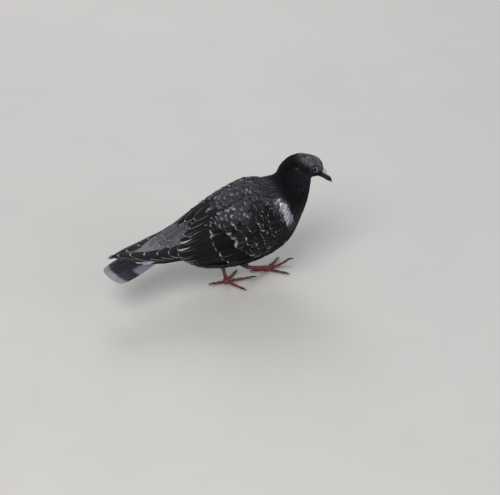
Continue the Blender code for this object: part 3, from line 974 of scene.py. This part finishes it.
def onTop(points):
    floorHeight = np.where(aheadOfRump(points), coatEdges["mantleFloor"], coatEdges["rumpFloor"])
    return points[:, 2] > floorHeight


isTrunk = regionIs("trunk")
growCoat("coat_head", "head_feather", regionIs("head"), finishes["head"], finePlume, headSpots)
growCoat("coat_neck", "neck_feather", regionIs("neck"), finishes["neck"], plumeVane, everywhere)
growCoat("coat_mantle", "dark_feather", lambda p, r: isTrunk(p, r) & onTop(p) & aheadOfRump(p),
         finishes["back"], backVane, everywhere)
growCoat("coat_rump", "dark_feather", lambda p, r: isTrunk(p, r) & onTop(p) & ~aheadOfRump(p),
         finishes["back"], backVane, everywhere)
growCoat("coat_underside", "dark_feather", lambda p, r: isTrunk(p, r) & ~onTop(p), finishes["plume"],
         plumeVane, everywhere)
growCoat("coat_thighs", "thigh_feather", regionIs("thigh_left", "thigh_right"), finishes["plume"], plumeVane,
         everywhere)
growCoat("coat_tail_root", "tail_feather", regionIs("tail"), finishes["covert"], backVane, everywhere)
for label in ("wing_right", "wing_left"):
    isWing = regionIs(label)
    growCoat("coat_" + label, "wing_feather",
             lambda p, r: isWing(p, r) & frontOfRows(p, coatEdges["lastRow"]),
             finishes["covert"], plumeVane, everywhere)


# coverts in rows, quills of wing and tail
def layOnFace(vane, place, starts, ends, halves, rootSink, tipSink, lean, thick, axis, bend=0.0):
    # feathers laid along a surface given by two measures, each corner moved along the surface
    points = []
    shape, along = vane["points"], vane["along"]
    t, step = shape[:, 1], 0.5
    for (s0, s1), (e0, e1), half, low, high in zip(starts, ends, halves, rootSink, tipSink):
        first = s0 + (e0 - s0) * t
        second = s1 + (e1 - s1) * t + bend * np.sin(pi * np.clip(t, 0, 1))
        byFirst = (place(first + step, second) - place(first - step, second)) / (2 * step)
        bySecond = (place(first, second + step) - place(first, second - step)) / (2 * step)
        outward = unit(np.cross(byFirst, bySecond))
        if ((place(first, second) - axis(first)) * outward).sum() < 0:
            outward = -outward
        slope = bend * pi * np.cos(pi * np.clip(t, 0, 1))
        flow = unit(byFirst * (e0 - s0) + bySecond * ((e1 - s1) + slope)[:, None])
        sideways = np.cross(flow, outward)
        aa, bb, ab = (byFirst ** 2).sum(1), (bySecond ** 2).sum(1), (byFirst * bySecond).sum(1)
        pa, pb = (sideways * byFirst).sum(1), (sideways * bySecond).sum(1)
        det = np.maximum(aa * bb - ab * ab, 1e-9)
        moveA, moveB = (pa * bb - pb * ab) / det, (pb * aa - pa * ab) / det
        w = shape[:, 0] * half
        spot = place(first + moveA * w, second + moveB * w)
        rise = -(low + (high - low) * along) + lean * (w / half) + shape[:, 2] * thick
        points.append(spot + outward * rise[:, None])
    return np.array(points)


def wingAxis(side):
    return lambda x: np.column_stack([x, np.full(np.size(x), midline), wingMeasures(x, side)[0]])


def stripPatches(vane, count):
    # one strip of the map for each large feather
    number = np.arange(count)[:, None]
    u = (number + 0.5 + 0.46 * vane["across"][None]) / count
    v = np.broadcast_to(0.01 + 0.98 * vane["along"][None], u.shape)
    return np.stack([u, v], -1)


# share of the way from the median row's line to the front, length, half width, spacing, chance of a mark
covertRows = [
    (None, 30.0, 6.4, 7.4, 0.10), (0.0, 21.0, 5.8, 6.7, 0.42), (0.17, 17.0, 5.2, 6.0, 0.22),
    (0.33, 15.0, 4.8, 5.5, 0.40), (0.49, 13.0, 4.3, 5.0, 0.20), (0.65, 11.5, 3.8, 4.5, 0.08)]
covertPlan = {"lastAngle": 127, "waver": 1.3, "length": (0.94, 1.06), "width": (0.95, 1.08),
              "gap": (0.93, 1.07), "tone": (0.75, 1.25), "lean": 0.32, "thick": 0.45, "dips": (4, 38),
              "rootDepth": 2.6, "tipDepth": 0.9, "rise": (0.1, 0.12)}      # each row lies a little higher
for side, label in ((-1, "right"), (1, "left")):
    place = wingFace(side)
    local = np.random.default_rng(20 + side)
    starts, ends, halves, lows, highs, inks, hems, marks = [], [], [], [], [], [], [], []
    for number, (share, length, half, spacing, chance) in enumerate(covertRows):
        angle = 12.0 if number < 2 else 20.0 + 3 * number
        while angle < covertPlan["lastAngle"]:
            x = np.interp(angle, *rowLines["greater"]) if share is None else rowAt(angle, share)
            x += local.normal(0, covertPlan["waver"])
            spot = place(np.array([x]), np.array([angle]))
            perDegree = np.linalg.norm(place(np.array([x]), np.array([angle + 1.0])) - spot)
            steep = smoothStep(-35, 25, x) * smoothStep(35, 95, angle)
            dip = radians(blend(*covertPlan["dips"], steep) + local.normal(0, 3))
            grown = length * local.uniform(*covertPlan["length"])
            starts.append((x + grown * cos(dip), angle - grown * sin(dip) / perDegree))
            ends.append((x, angle))
            halves.append(half * local.uniform(*covertPlan["width"]))
            lows.append(covertPlan["rootDepth"] - covertPlan["rise"][0] * number)
            highs.append(covertPlan["tipDepth"] - covertPlan["rise"][1] * number)
            ground = mix(ink["shield"], ink["covert"], np.clip(0.5 + 0.5 * cloud(spot, 0.4, 9), 0, 1))
            ground = mix(ground, ink["mantle"], smoothStep(50, 25, np.array([angle])))[0]
            if number == 0:
                ground = ink["covert"]
            inks.append(ground * local.uniform(*covertPlan["tone"]))
            lot = local.random(4)
            hems.append(tuple(ink["frost"] * (0.8 + 1.6 * lot[3] ** 2)) + (0.20 + 0.80 * lot[2] ** 1.3,))
            marks.append(((lot[0] < chance) * (0.45 + 0.55 * lot[3]), lot[1] > 0.5, lot[2], 1))
            angle += spacing / perDegree * local.uniform(*covertPlan["gap"])
    points = layOnFace(covertVane, place, starts, ends, halves, lows, highs, covertPlan["lean"] * side,
                       covertPlan["thick"], wingAxis(side))
    x, angle = wingPlace(points[:, 0], side)
    patches = tuftPatches(covertVane, np.column_stack([angle, x]))
    piece = joinVanes("coverts_" + label, covertVane, points, patches, np.array(inks), np.array(hems),
                      np.array(marks))
    finishPiece(piece, finishes["covert"], "wing_feather")


# the tail's dark band and the pale one beyond it, by the share of the feather's length
bandPlan = {"from": (0.655, 0.715), "to": (0.915, 0.865), "pale": (0.875, 0.93), "waver": 0.05,
            "darkTone": (0.020, 0.020, 0.026, 1), "paleTone": (0.30, 0.305, 0.34, 1)}


def quillFinish(name, banded):
    material, tree, shader = startMaterial(name, Roughness=0.5, Specular_IOR_Level=0.12)
    edge = painted(tree, "hem")
    marks = plug(tree, "SeparateColor", {0: painted(tree, "extra")["Color"]}).outputs
    vane, signed, across, along = vaneNodes(tree)
    wide = noiseMap(tree, objectPlace(tree), 180.0, 4.0)
    streaks = noiseMap(tree, vane, 5.0, 3.0, stretch=(12.0, 1.0, 1.0))
    tip = stepMap(tree, scaled(tree, wide, 0.012, along), 0.984, 0.994)
    side = times(tree, stepMap(tree, across, 0.83, 0.95), stepMap(tree, along, 0.64, 0.86))
    side = sums(tree, "MAXIMUM", side, times(tree, stepMap(tree, across, 0.93, 0.99), 0.35))
    hem = times(tree, sums(tree, "MAXIMUM", tip, side), edge["Alpha"])
    # a pale wedge that runs up from the tip, beside the shaft
    reach = times(tree, sums(tree, "SUBTRACT", along, 0.76), 1.35)
    offCentre = sums(tree, "ADD", signed, scaled(tree, marks[1], 2.0, -1.0))
    wedge = stepMap(tree, sums(tree, "SUBTRACT", reach, sums(tree, "ABSOLUTE", offCentre)), -0.02, 0.08)
    wedge = times(tree, wedge, marks[0])
    colour = painted(tree, "ink")["Color"]
    if banded:
        waver = scaled(tree, sums(tree, "SUBTRACT", wide, 0.5), bandPlan["waver"], along)
        dark = times(tree, stepMap(tree, waver, *bandPlan["from"]), stepMap(tree, waver, *bandPlan["to"]))
        light = times(tree, stepMap(tree, waver, *bandPlan["pale"]), marks[2])
        colour = blendColours(tree, dark, colour, bandPlan["darkTone"])
        colour = blendColours(tree, light, colour, bandPlan["paleTone"])
    colour = blendColours(tree, hem, colour, edge["Color"])
    colour = blendColours(tree, wedge, colour, (0.42, 0.42, 0.46, 1))
    shade = times(tree, scaled(tree, streaks, 0.6, 0.7), scaled(tree, wide, 0.6, 0.7))
    shade = times(tree, shade, stepMap(tree, across, 0.05, 0.02, 1.0, 0.55))
    tree.links.new(darken(tree, colour, shade), shader.inputs["Base Color"])
    tree.links.new(stepMap(tree, wide, 0.3, 0.75, 0.42, 0.62), shader.inputs["Roughness"])
    barbRelief(tree, shader, across, along, 70, 9, (0.07, 0.0), 3.0, 0.00007)
    return material


quillOfWing, quillOfTail = quillFinish("quill_wing", False), quillFinish("quill_tail", True)

# tip x, tip angle, root x, root angle, half width, depth of layer, wedge, pale edge
secondaries = [(-37, 3, 12, 8, 6.4, 0.5, 0.0, 0.9), (-46, 13, 8, 17, 6.8, 0.65, 0.0, 1.0),
               (-54.5, 23, 4, 27, 7.2, 0.8, 0.1, 0.9), (-60.5, 35, 0, 39, 7.4, 0.95, 0.9, 0.5),
               (-65.5, 50, -2, 54, 7.6, 1.1, 0.9, 0.5), (-66, 66, -4, 70, 7.6, 1.25, 0.0, 0.4),
               (-63.5, 81, -4, 85, 7.6, 1.4, 0.15, 0.4), (-59.5, 95, -2, 98, 7.6, 1.55, 0.6, 0.9),
               (-54, 107, 0, 109, 7.4, 1.7, 0.3, 0.6), (-47, 117, 2, 118, 7.0, 1.85, 0, 0.3),
               (-38, 124, 6, 124, 6.6, 2.0, 0, 0.3)]
primaries = [(-64, 58, -12, 80, 9.0, 1.5, 0, 0.9), (-75.7, 48, -13, 82, 9.4, 1.8, 0, 1.0),
             (-88, 40, -14, 84, 9.4, 2.1, 0, 1.0), (-102, 34.5, -15, 88, 8.8, 2.4, 0, 1.0),
             (-117, 32, -16, 93, 7.6, 2.7, 0, 0.9), (-130, 29, -17, 97, 6.0, 3.0, 0, 0.7),
             (-138, 27, -18, 101, 4.8, 3.3, 0, 0.5), (-139, 36, -19, 105, 4.4, 3.6, 0, 0.5)]
quillPlan = {"lean": 0.22, "thick": 0.35, "tone": (0.85, 1.15), "rootDepth": 0.7, "thinTo": 0.42}
# name, rows, ground colour, bend, strength of the pale edge's colour, stem of the node it stands for
quillKinds = [
    ("secondaries", secondaries, mix(ink["covert"], ink["quill"], 0.35), 0.0, 1.9, ()),
    ("primaries", primaries, ink["quill"], 2.0, 1.6, ("wing_",))]
for side, label in ((-1, "right"), (1, "left")):
    local = np.random.default_rng(40 + side)
    for kind, table, ground, bend, frosty, stems in quillKinds:
        rows = np.array(table, float)
        rows[:, 1] -= 0.8 * tipTuck(rows[:, 0], side)
        depth, count = rows[:, 5], len(rows)
        thin = blend(1.0, quillPlan["thinTo"], smoothStep(-50, -135, rows[:, 0]))
        points = layOnFace(quillVane, wingFace(side), rows[:, (2, 3)], rows[:, :2], rows[:, 4],
                           depth + quillPlan["rootDepth"], depth * thin, quillPlan["lean"] * side,
                           quillPlan["thick"], wingAxis(side), bend)
        inks = ground * local.uniform(*quillPlan["tone"], (count, 1))
        hems = np.column_stack([np.tile(ink["frost"] * frosty, (count, 1)), rows[:, 7]])
        marks = np.column_stack([rows[:, 6], np.tile((0.5 - 0.22 * side, 1, 1), (count, 1))])
        patches = stripPatches(quillVane, count)
        piece = joinVanes(kind + "_" + label, quillVane, points, patches, inks, hems, marks)
        finishPiece(piece, quillOfWing, "wing_feather", *[stem + label for stem in stems])

# tail: twelve quills, and the coverts that lie over their bases
tailPlan = {"root": 2.0, "rootGap": 1.7, "length": 84.0, "round": 0.12, "fan": 2.75, "half": 8.4,
            "thick": 0.4}
order = np.array([-5.5, 5.5, -4.5, 4.5, -3.5, 3.5, -2.5, 2.5, -1.5, 1.5, -0.5, 0.5])      # from the edges in
count = len(order)
starts = np.column_stack([np.full(count, tailPlan["root"]), order * tailPlan["rootGap"]])
ends = np.column_stack([tailPlan["length"] - tailPlan["round"] * order ** 2, order * tailPlan["fan"]])
sinks = 0.6 + 0.30 * np.abs(order)
tailAxis = lambda along: tailFace(along, np.zeros(np.size(along))) - tailUp * 8
points = layOnFace(quillVane, tailFace, starts, ends, np.full(count, tailPlan["half"]), sinks, sinks, 0.0,
                   tailPlan["thick"], tailAxis)
inks = mix(ink["tailBase"], ink["quill"] * 2.4, smoothStep(3.2, 1.0, np.abs(order)))
hems = np.column_stack([np.tile(ink["frost"] * 1.3, (count, 1)), np.full(count, 0.4)])
marks = np.tile((0, 0.5, 1, 1), (count, 1))
tail = joinVanes("tail_quills", quillVane, points, stripPatches(quillVane, count), inks, hems, marks)
finishPiece(tail, quillOfTail, "tail_feather", "tail")

# height of the coverts over the tail's root, by the run along it
tailRise = [(-30, 18.0), (-14, 14.5), (0, 10.5), (14, 6.5), (30, 3.2), (54, 1.9), (90, 1.6)]


def tailCover(along, across):
    along, across = np.asarray(along, float), np.asarray(across, float)
    high = np.interp(along, *zip(*tailRise))
    arch = np.sqrt(np.clip(1 - (across / 21) ** 2, 0.05, 1))
    return tailPoint(along, across, high * arch + 0.9 - 2.0 * smoothStep(40, 85, along))


# tip, number of feathers, half width, length
coverRows = [(52, 5, 6.2, 30), (43, 6, 6.0, 28), (34, 7, 5.6, 26), (25, 7, 5.4, 24), (16, 8, 5.0, 22),
             (7, 8, 4.8, 20)]
coverPlan = {"spread": 13.5, "narrower": 0.4, "stagger": 1.2, "round": 0.035, "waver": 0.8, "sideWaver": 0.4,
             "rootSpread": 0.85, "width": (0.92, 1.08), "depth": 0.9, "sideDepth": 0.004,
             "tones": (1.3, 0.42), "tone": (0.72, 1.25)}      # darker near the back
local = np.random.default_rng(60)
starts, ends, halves, lows, tones = [], [], [], [], []
for number, (tip, wide, half, length) in enumerate(coverRows):
    reach = coverPlan["spread"] - coverPlan["narrower"] * number
    for across in np.linspace(-1, 1, wide) * reach + (number % 2) * coverPlan["stagger"]:
        back = tip - coverPlan["round"] * across ** 2 + local.normal(0, coverPlan["waver"])
        starts.append((back - length, across * coverPlan["rootSpread"]))
        ends.append((back, across + local.normal(0, coverPlan["sideWaver"])))
        halves.append(half * local.uniform(*coverPlan["width"]))
        lows.append(coverPlan["depth"] + coverPlan["sideDepth"] * across ** 2)
        tones.append(blend(*coverPlan["tones"], number / 5) * local.uniform(*coverPlan["tone"]))
lows, count = np.array(lows), len(starts)
points = layOnFace(covertVane, tailCover, starts, ends, halves, lows + 1.2, lows - 0.9, 0.0,
                   covertPlan["thick"], tailAxis)
inks = ink["rump"] * np.array(tones)[:, None]
hems = np.column_stack([np.tile(ink["rump"] * 2.0, (count, 1)), local.uniform(0.3, 1.0, count)])
marks = np.column_stack([np.zeros(count), np.zeros(count), local.random(count)])
patches = tuftPatches(covertVane, np.array(starts))
cover = joinVanes("tail_coverts", covertVane, points, patches, inks, hems, marks)
finishPiece(cover, finishes["covert"], "tail_feather")

# skin finish
skinRegions = regionsOf(skinPoints)
paintPoints(skin, "ink", markings(skinPoints, skinRegions) * 0.8)
material, tree, shader = startMaterial("skin_down", Roughness=0.75)
down = noiseMap(tree, objectPlace(tree), 700.0, 4.0)
shaded = darken(tree, painted(tree, "ink")["Color"], scaled(tree, down, 0.9, 0.5))
tree.links.new(shaded, shader.inputs["Base Color"])
bumpUp(tree, shader, down, 0.0003, 0.7)
finishPiece(skin, material, "dark_feather", *fleshNodes)

# eyes and their lids
eyeFinish, tree, shader = startMaterial("eye_gloss", Roughness=0.06, Specular_IOR_Level=0.25,
                                        Coat_Weight=0.25, Coat_Roughness=0.03)
ring = plug(tree, "UVMap", uv_map="iris").outputs[0]
outward = plug(tree, "SeparateXYZ", {0: ring}).outputs[1]
rays = noiseMap(tree, ring, 30.0, 3.0, stretch=(14.0, 1.5, 1.0))
irisTone = blendColours(tree, rays, (0.004, 0.0016, 0.0011, 1), (0.011, 0.0042, 0.0026, 1))
white = blendColours(tree, stepMap(tree, outward, 0.62, 0.72), irisTone, (0.012, 0.011, 0.012, 1))
tree.links.new(blendColours(tree, stepMap(tree, outward, 0.30, 0.33), (0.0015, 0.0015, 0.002, 1), white),
               shader.inputs["Base Color"])

lidFinish, tree, shader = startMaterial("lid_skin", Roughness=0.55)
grain = noiseMap(tree, objectPlace(tree), 1800.0, 3.0)
lidTone = blendColours(tree, grain, (0.006, 0.006, 0.007, 1), (0.020, 0.020, 0.024, 1))
lidPale = blendColours(tree, grain, (0.22, 0.22, 0.24, 1), (0.46, 0.46, 0.50, 1))
lidTone = blendColours(tree, painted(tree, "pale")["Fac"], lidTone, lidPale)
tree.links.new(lidTone, shader.inputs["Base Color"])
bumpUp(tree, shader, grain, 0.00015, 0.8)

eyeLook = {"outward": (0.20, 1.0, 0.12), "radius": 4.2, "sink": 0.25, "cornea": 0.35,
           "lid": (3.4, 0.46, 2.5), "rim": (4.6, 1.0, 1.6),      # reach, thickness, distance out
           "rimEdge": 5.7, "paleTurn": 0.55, "corneaWide": 0.45, "pinch": (0.10, 0.05), "folds": 23,
           "foldHeight": 0.05}
forwardWay, upWay = np.array(headForward), np.array(headUp)


def addRing(name, centre, out, reach, thick, distance):
    # a torus about the eye's own axis; returns it and its corners seen from the eye's centre
    pick()
    bpy.ops.mesh.primitive_torus_add(major_radius=reach * mm, minor_radius=thick * mm, major_segments=56,
                                     minor_segments=14, location=(centre + out * distance) * mm,
                                     rotation=out.to_track_quat("Z", "Y").to_euler())
    made = bpy.context.object
    made.name = made.data.name = name
    settle()
    return made, readPoints(made) - np.array(centre)


for side, label in ((1, "left"), (-1, "right")):
    centre = headPoint(eyePlan["forward"], (eyePlan["side"] - eyeLook["sink"]) * side, eyePlan["height"])
    out = (headForward * eyeLook["outward"][0] + headLeft * side * eyeLook["outward"][1]
           + headUp * eyeLook["outward"][2]).normalized()
    pick()
    bpy.ops.mesh.primitive_uv_sphere_add(segments=40, ring_count=28, radius=eyeLook["radius"] * mm,
                                         location=centre * mm,
                                         rotation=out.to_track_quat("Z", "Y").to_euler())
    eye = bpy.context.object
    eye.name = eye.data.name = "eyeball_" + label
    local = readPoints(eye)
    polar = np.arccos(np.clip(local[:, 2] / eyeLook["radius"], -1, 1)) / (pi / 2)
    # the cornea stands a little proud
    bulge = eyeLook["cornea"] * np.exp(-(polar / eyeLook["corneaWide"]) ** 2)
    writePoints(eye, local * (1 + bulge / eyeLook["radius"])[:, None])
    corners = np.empty(len(eye.data.loops), int)
    eye.data.loops.foreach_get("vertex_index", corners)
    turnRound = np.arctan2(local[:, 1], local[:, 0]) / (2 * pi) + 0.5
    eye.data.uv_layers[0].name = "plain"
    uv = np.column_stack([turnRound[corners], polar[corners]])
    eye.data.uv_layers.new(name="iris").data.foreach_set("uv", uv.ravel())
    pick(eye)
    settle()
    smoothShade(eye)
    finishPiece(eye, eyeFinish, "eye_gloss", "eye_" + label)
    lid, local = addRing("eyelid_" + label, centre, out, *eyeLook["lid"])
    ahead, up = local @ forwardWay, local @ upWay
    turned = np.arctan2(up, ahead)
    longer, lower = eyeLook["pinch"]      # slight corners fore and aft
    pinch = longer * np.cos(turned) ** 8 - lower * np.sin(turned) ** 2
    warped = local + (np.outer(ahead, forwardWay) + np.outer(up, upWay)) * pinch[:, None]
    distance = np.linalg.norm(warped, axis=1)
    ripple = eyeLook["foldHeight"] * np.sin(turned * eyeLook["folds"]) * smoothStep(3.9, 4.8, distance)
    writePoints(lid, np.array(centre) + warped * (1 + ripple / distance)[:, None])
    # bare skin round the lids, from their outer edge down to the head
    rim, local = addRing("rim", centre, out, *eyeLook["rim"])
    high = local @ np.array(out)
    flat = local - np.outer(high, out)
    far = np.linalg.norm(flat, axis=1)
    ground = np.empty(len(flat))
    for n, way in enumerate(flat / far[:, None]):
        spot = skinTree.ray_cast(centre + Vector(way) * eyeLook["rimEdge"] + out * 12, -out)[0]
        ground[n] = (spot - centre).dot(out)
    rise = blend(eyeLook["lid"][2] - 0.5, ground - 0.35, smoothStep(3.6, 5.6, far))
    rise += 0.6 * (high - eyeLook["rim"][2])
    writePoints(rim, np.array(centre) + flat + np.outer(rise, out))
    pick(lid, rim)
    bpy.ops.object.join()
    local = readPoints(lid) - np.array(centre)
    turned = np.arctan2(local @ upWay, local @ forwardWay)
    far = np.linalg.norm(local - np.outer(local @ np.array(out), out), axis=1)
    arc = smoothStep(0.45, 0.9, np.cos(turned - eyeLook["paleTurn"]))
    paintValue(lid, "pale", arc * smoothStep(4.1, 3.7, far))
    smoothShade(lid)
    finishPiece(lid, lidFinish, "cere_skin")
print("eyes and lids")

# bill and cere
grainyLooks = {
    "bill_horn": {"sockets": {"Roughness": 0.34, "Specular_IOR_Level": 0.25}, "grain": (500.0, 4.0),
                  "dark": (0.006, 0.0058, 0.006, 1), "light": (0.022, 0.020, 0.019, 1), "rough": (0.34, 0.52),
                  "relief": (2500.0, 2.0), "bump": (0.00006, 0.5)},
    "cere_skin": {"sockets": {"Roughness": 0.7}, "grain": (900.0, 4.0), "dark": (0.34, 0.31, 0.31, 1),
                  "light": (0.66, 0.62, 0.62, 1), "relief": (3000.0, 3.0), "added": True,
                  "bump": (0.00012, 0.8)},
    "claw_horn": {"sockets": {"Roughness": 0.38}, "grain": (900.0, 3.0), "dark": (0.008, 0.0075, 0.008, 1),
                  "light": (0.04, 0.035, 0.033, 1), "bump": (0.00008, 0.5)}}
hornFinish, cereFinish, clawFinish = (grainyFinish(name, look) for name, look in grainyLooks.items())
billPlan = {"hornRoot": 2.4, "hornSwell": 0.13, "cereRoot": 2.0, "cereSwell": 0.3, "lobes": 0.35,
            "groove": 0.75}
headTree = regionTrees[regionNames.index("head")]


def rootInFace(piece, deep):
    # moves the corners that meet the head further into it, so that no gap shows
    points = readPoints(piece)
    gap = np.array([headTree.find_nearest(Vector(p))[3] for p in points])
    writePoints(piece, points - smoothStep(1.1, 0.4, gap)[:, None] * forwardWay * deep)


for nodeName in ("bill_upper", "bill_lower"):
    piece = copyNode(nodeName, nodeName.replace("bill", "horn"))
    rootInFace(piece, billPlan["hornRoot"])
    addModifier(piece, "SUBSURF", subdivision_type="SIMPLE", levels=2, render_levels=2)
    addModifier(piece, "SMOOTH", factor=0.5, iterations=6)
    addModifier(piece, "DISPLACE", strength=billPlan["hornSwell"] * mm, mid_level=0.0)
    smoothShade(piece)
    finishPiece(piece, hornFinish, "bill_horn", nodeName)
cere = copyNode("cere", "cere_lobes")
rootInFace(cere, billPlan["cereRoot"])
addModifier(cere, "SUBSURF", levels=3, render_levels=3)
points, normals = readPoints(cere), readNormals(cere)
forward, aside, _ = headPlace(points).T
groove = billPlan["groove"] * np.exp(-(aside / 0.55) ** 2) * (normals @ upWay > -0.2)
swell = billPlan["lobes"] * np.exp(-((np.abs(aside) - 1.6) / 1.0) ** 2) * smoothStep(15, 18, forward)
writePoints(cere, points + normals * (billPlan["cereSwell"] + swell - groove)[:, None])
smoothShade(cere)
finishPiece(cere, cereFinish, "cere_skin", "cere")
print("bill and cere")

# legs, toes and claws
legFinish, tree, shader = startMaterial("leg_scales", Roughness=0.5)
place = objectPlace(tree)
cells = plug(tree, "TexVoronoi", {"Vector": place, "Scale": 1100.0}, feature="DISTANCE_TO_EDGE")
crease = stepMap(tree, cells.outputs["Distance"], 0.0, 0.10)
grain = noiseMap(tree, place, 450.0, 4.0)
red = blendColours(tree, grain, (0.13, 0.026, 0.024, 1), (0.30, 0.085, 0.070, 1))
red = blendColours(tree, crease, (0.07, 0.018, 0.017, 1), red)
red = blendColours(tree, times(tree, painted(tree, "scute")["Fac"], 0.75), red, (0.085, 0.018, 0.016, 1))
tree.links.new(red, shader.inputs["Base Color"])
bumpUp(tree, shader, crease, 0.00012, 0.6)

heelPlan = {"right": (-5.5, -3.5, 25.0), "left": (27.0, 3.0, 12.5), "radius": 2.3, "length": 9.0,
            "past": 1.6}
scutePlan = {"toe": 1.7, "shank": 2.3, "height": 0.16, "seam": 0.16, "pads": 0.10, "padGap": 3.0}
footPlan = {"voxel": 0.4, "grow": 0.36, "shrink": 0.2, "smooth": 4}
clawPlan = {"rootRun": 2.2, "rootShift": 1.7}
for label in ("left", "right"):
    names = [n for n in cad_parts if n.startswith(("toe_", "shank_")) and label in n]
    copies = [copyNode(n, "foot_" + n) for n in names]
    shafts = []
    for nodeName, part in zip(names, copies):
        corners = readPoints(part)
        middle = corners.mean(0)
        shafts.append((nodeName, middle, np.linalg.svd(corners - middle, full_matrices=False)[2][0],
                       treeOf(corners, triangles(part))))
        addModifier(part, "DISPLACE", strength=footPlan["grow"] * mm, mid_level=0.0)
    # the heel runs on into the feathers of the thigh
    way = Vector(legWays["thigh_" + label])
    heel = Vector(heelPlan[label]) - way * (heelPlan["length"] / 2 - heelPlan["past"])
    pick()
    bpy.ops.mesh.primitive_cylinder_add(vertices=16, radius=heelPlan["radius"] * mm,
                                        depth=heelPlan["length"] * mm, location=heel * mm,
                                        rotation=way.to_track_quat("Z", "Y").to_euler())
    copies.append(bpy.context.object)
    settle()
    pick(*copies)
    bpy.ops.object.join()
    foot = bpy.context.object
    foot.name = foot.data.name = "foot_skin_" + label
    addModifier(foot, "REMESH", mode="VOXEL", voxel_size=footPlan["voxel"] * mm)
    addModifier(foot, "SMOOTH", factor=0.5, iterations=footPlan["smooth"])
    addModifier(foot, "DISPLACE", strength=-footPlan["shrink"] * mm, mid_level=0.0)
    points, normals = readPoints(foot), readNormals(foot)
    owner = np.argmin([[shaft[3].find_nearest(Vector(p))[3] for p in points] for shaft in shafts], axis=0)
    scutes, heights = np.zeros(len(points)), np.zeros(len(points))
    for number, (nodeName, middle, long, _) in enumerate(shafts):
        mine = owner == number
        isToe = nodeName.startswith("toe")
        facing = np.array([0, 0, 1.0]) if isToe else unit(np.array([1.0, 0, 0.35]))
        pitch = scutePlan["toe" if isToe else "shank"]
        run = (points[mine] - middle) @ long / pitch
        front = smoothStep(0.05, 0.5, normals[mine] @ facing)
        saw = run - np.floor(run)
        plate = 1 - np.clip(1 - np.minimum(saw, 1 - saw) / scutePlan["seam"], 0, 1) ** 1.5
        under = smoothStep(-0.2, -0.7, normals[mine, 2]) if isToe else 0 * front
        pads = scutePlan["pads"] * np.sin(run * pitch / scutePlan["padGap"] * 2 * pi) * under
        pads *= points[mine, 2] > 0.4
        scutes[mine] = (1 - plate) * front
        heights[mine] = scutePlan["height"] * (plate - 1) * front + pads
    points = points + normals * heights[:, None]
    points[:, 2] = np.maximum(points[:, 2], 0)
    writePoints(foot, points)
    paintValue(foot, "scute", scutes)
    smoothShade(foot)
    finishPiece(foot, legFinish, "leg_skin", *names)
for nodeName in [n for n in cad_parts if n.startswith("claw_")]:
    piece = copyNode(nodeName, nodeName.replace("claw", "talon"))
    points = readPoints(piece)
    long = points.mean(0) - readPoints(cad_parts[nodeName.replace("claw", "toe")]).mean(0)
    long = unit(long * (1, 1, 0))
    run = points @ long
    root = smoothStep(clawPlan["rootRun"], 0.0, run - run.min())      # the claw's root goes into the toe
    writePoints(piece, points - root[:, None] * long * clawPlan["rootShift"])
    addModifier(piece, "SUBSURF", levels=2, render_levels=2)
    points = readPoints(piece)
    points[:, 2] = np.maximum(points[:, 2], 0)
    writePoints(piece, points)
    smoothShade(piece)
    finishPiece(piece, clawFinish, "claw_horn", nodeName)
print("legs, toes and claws")
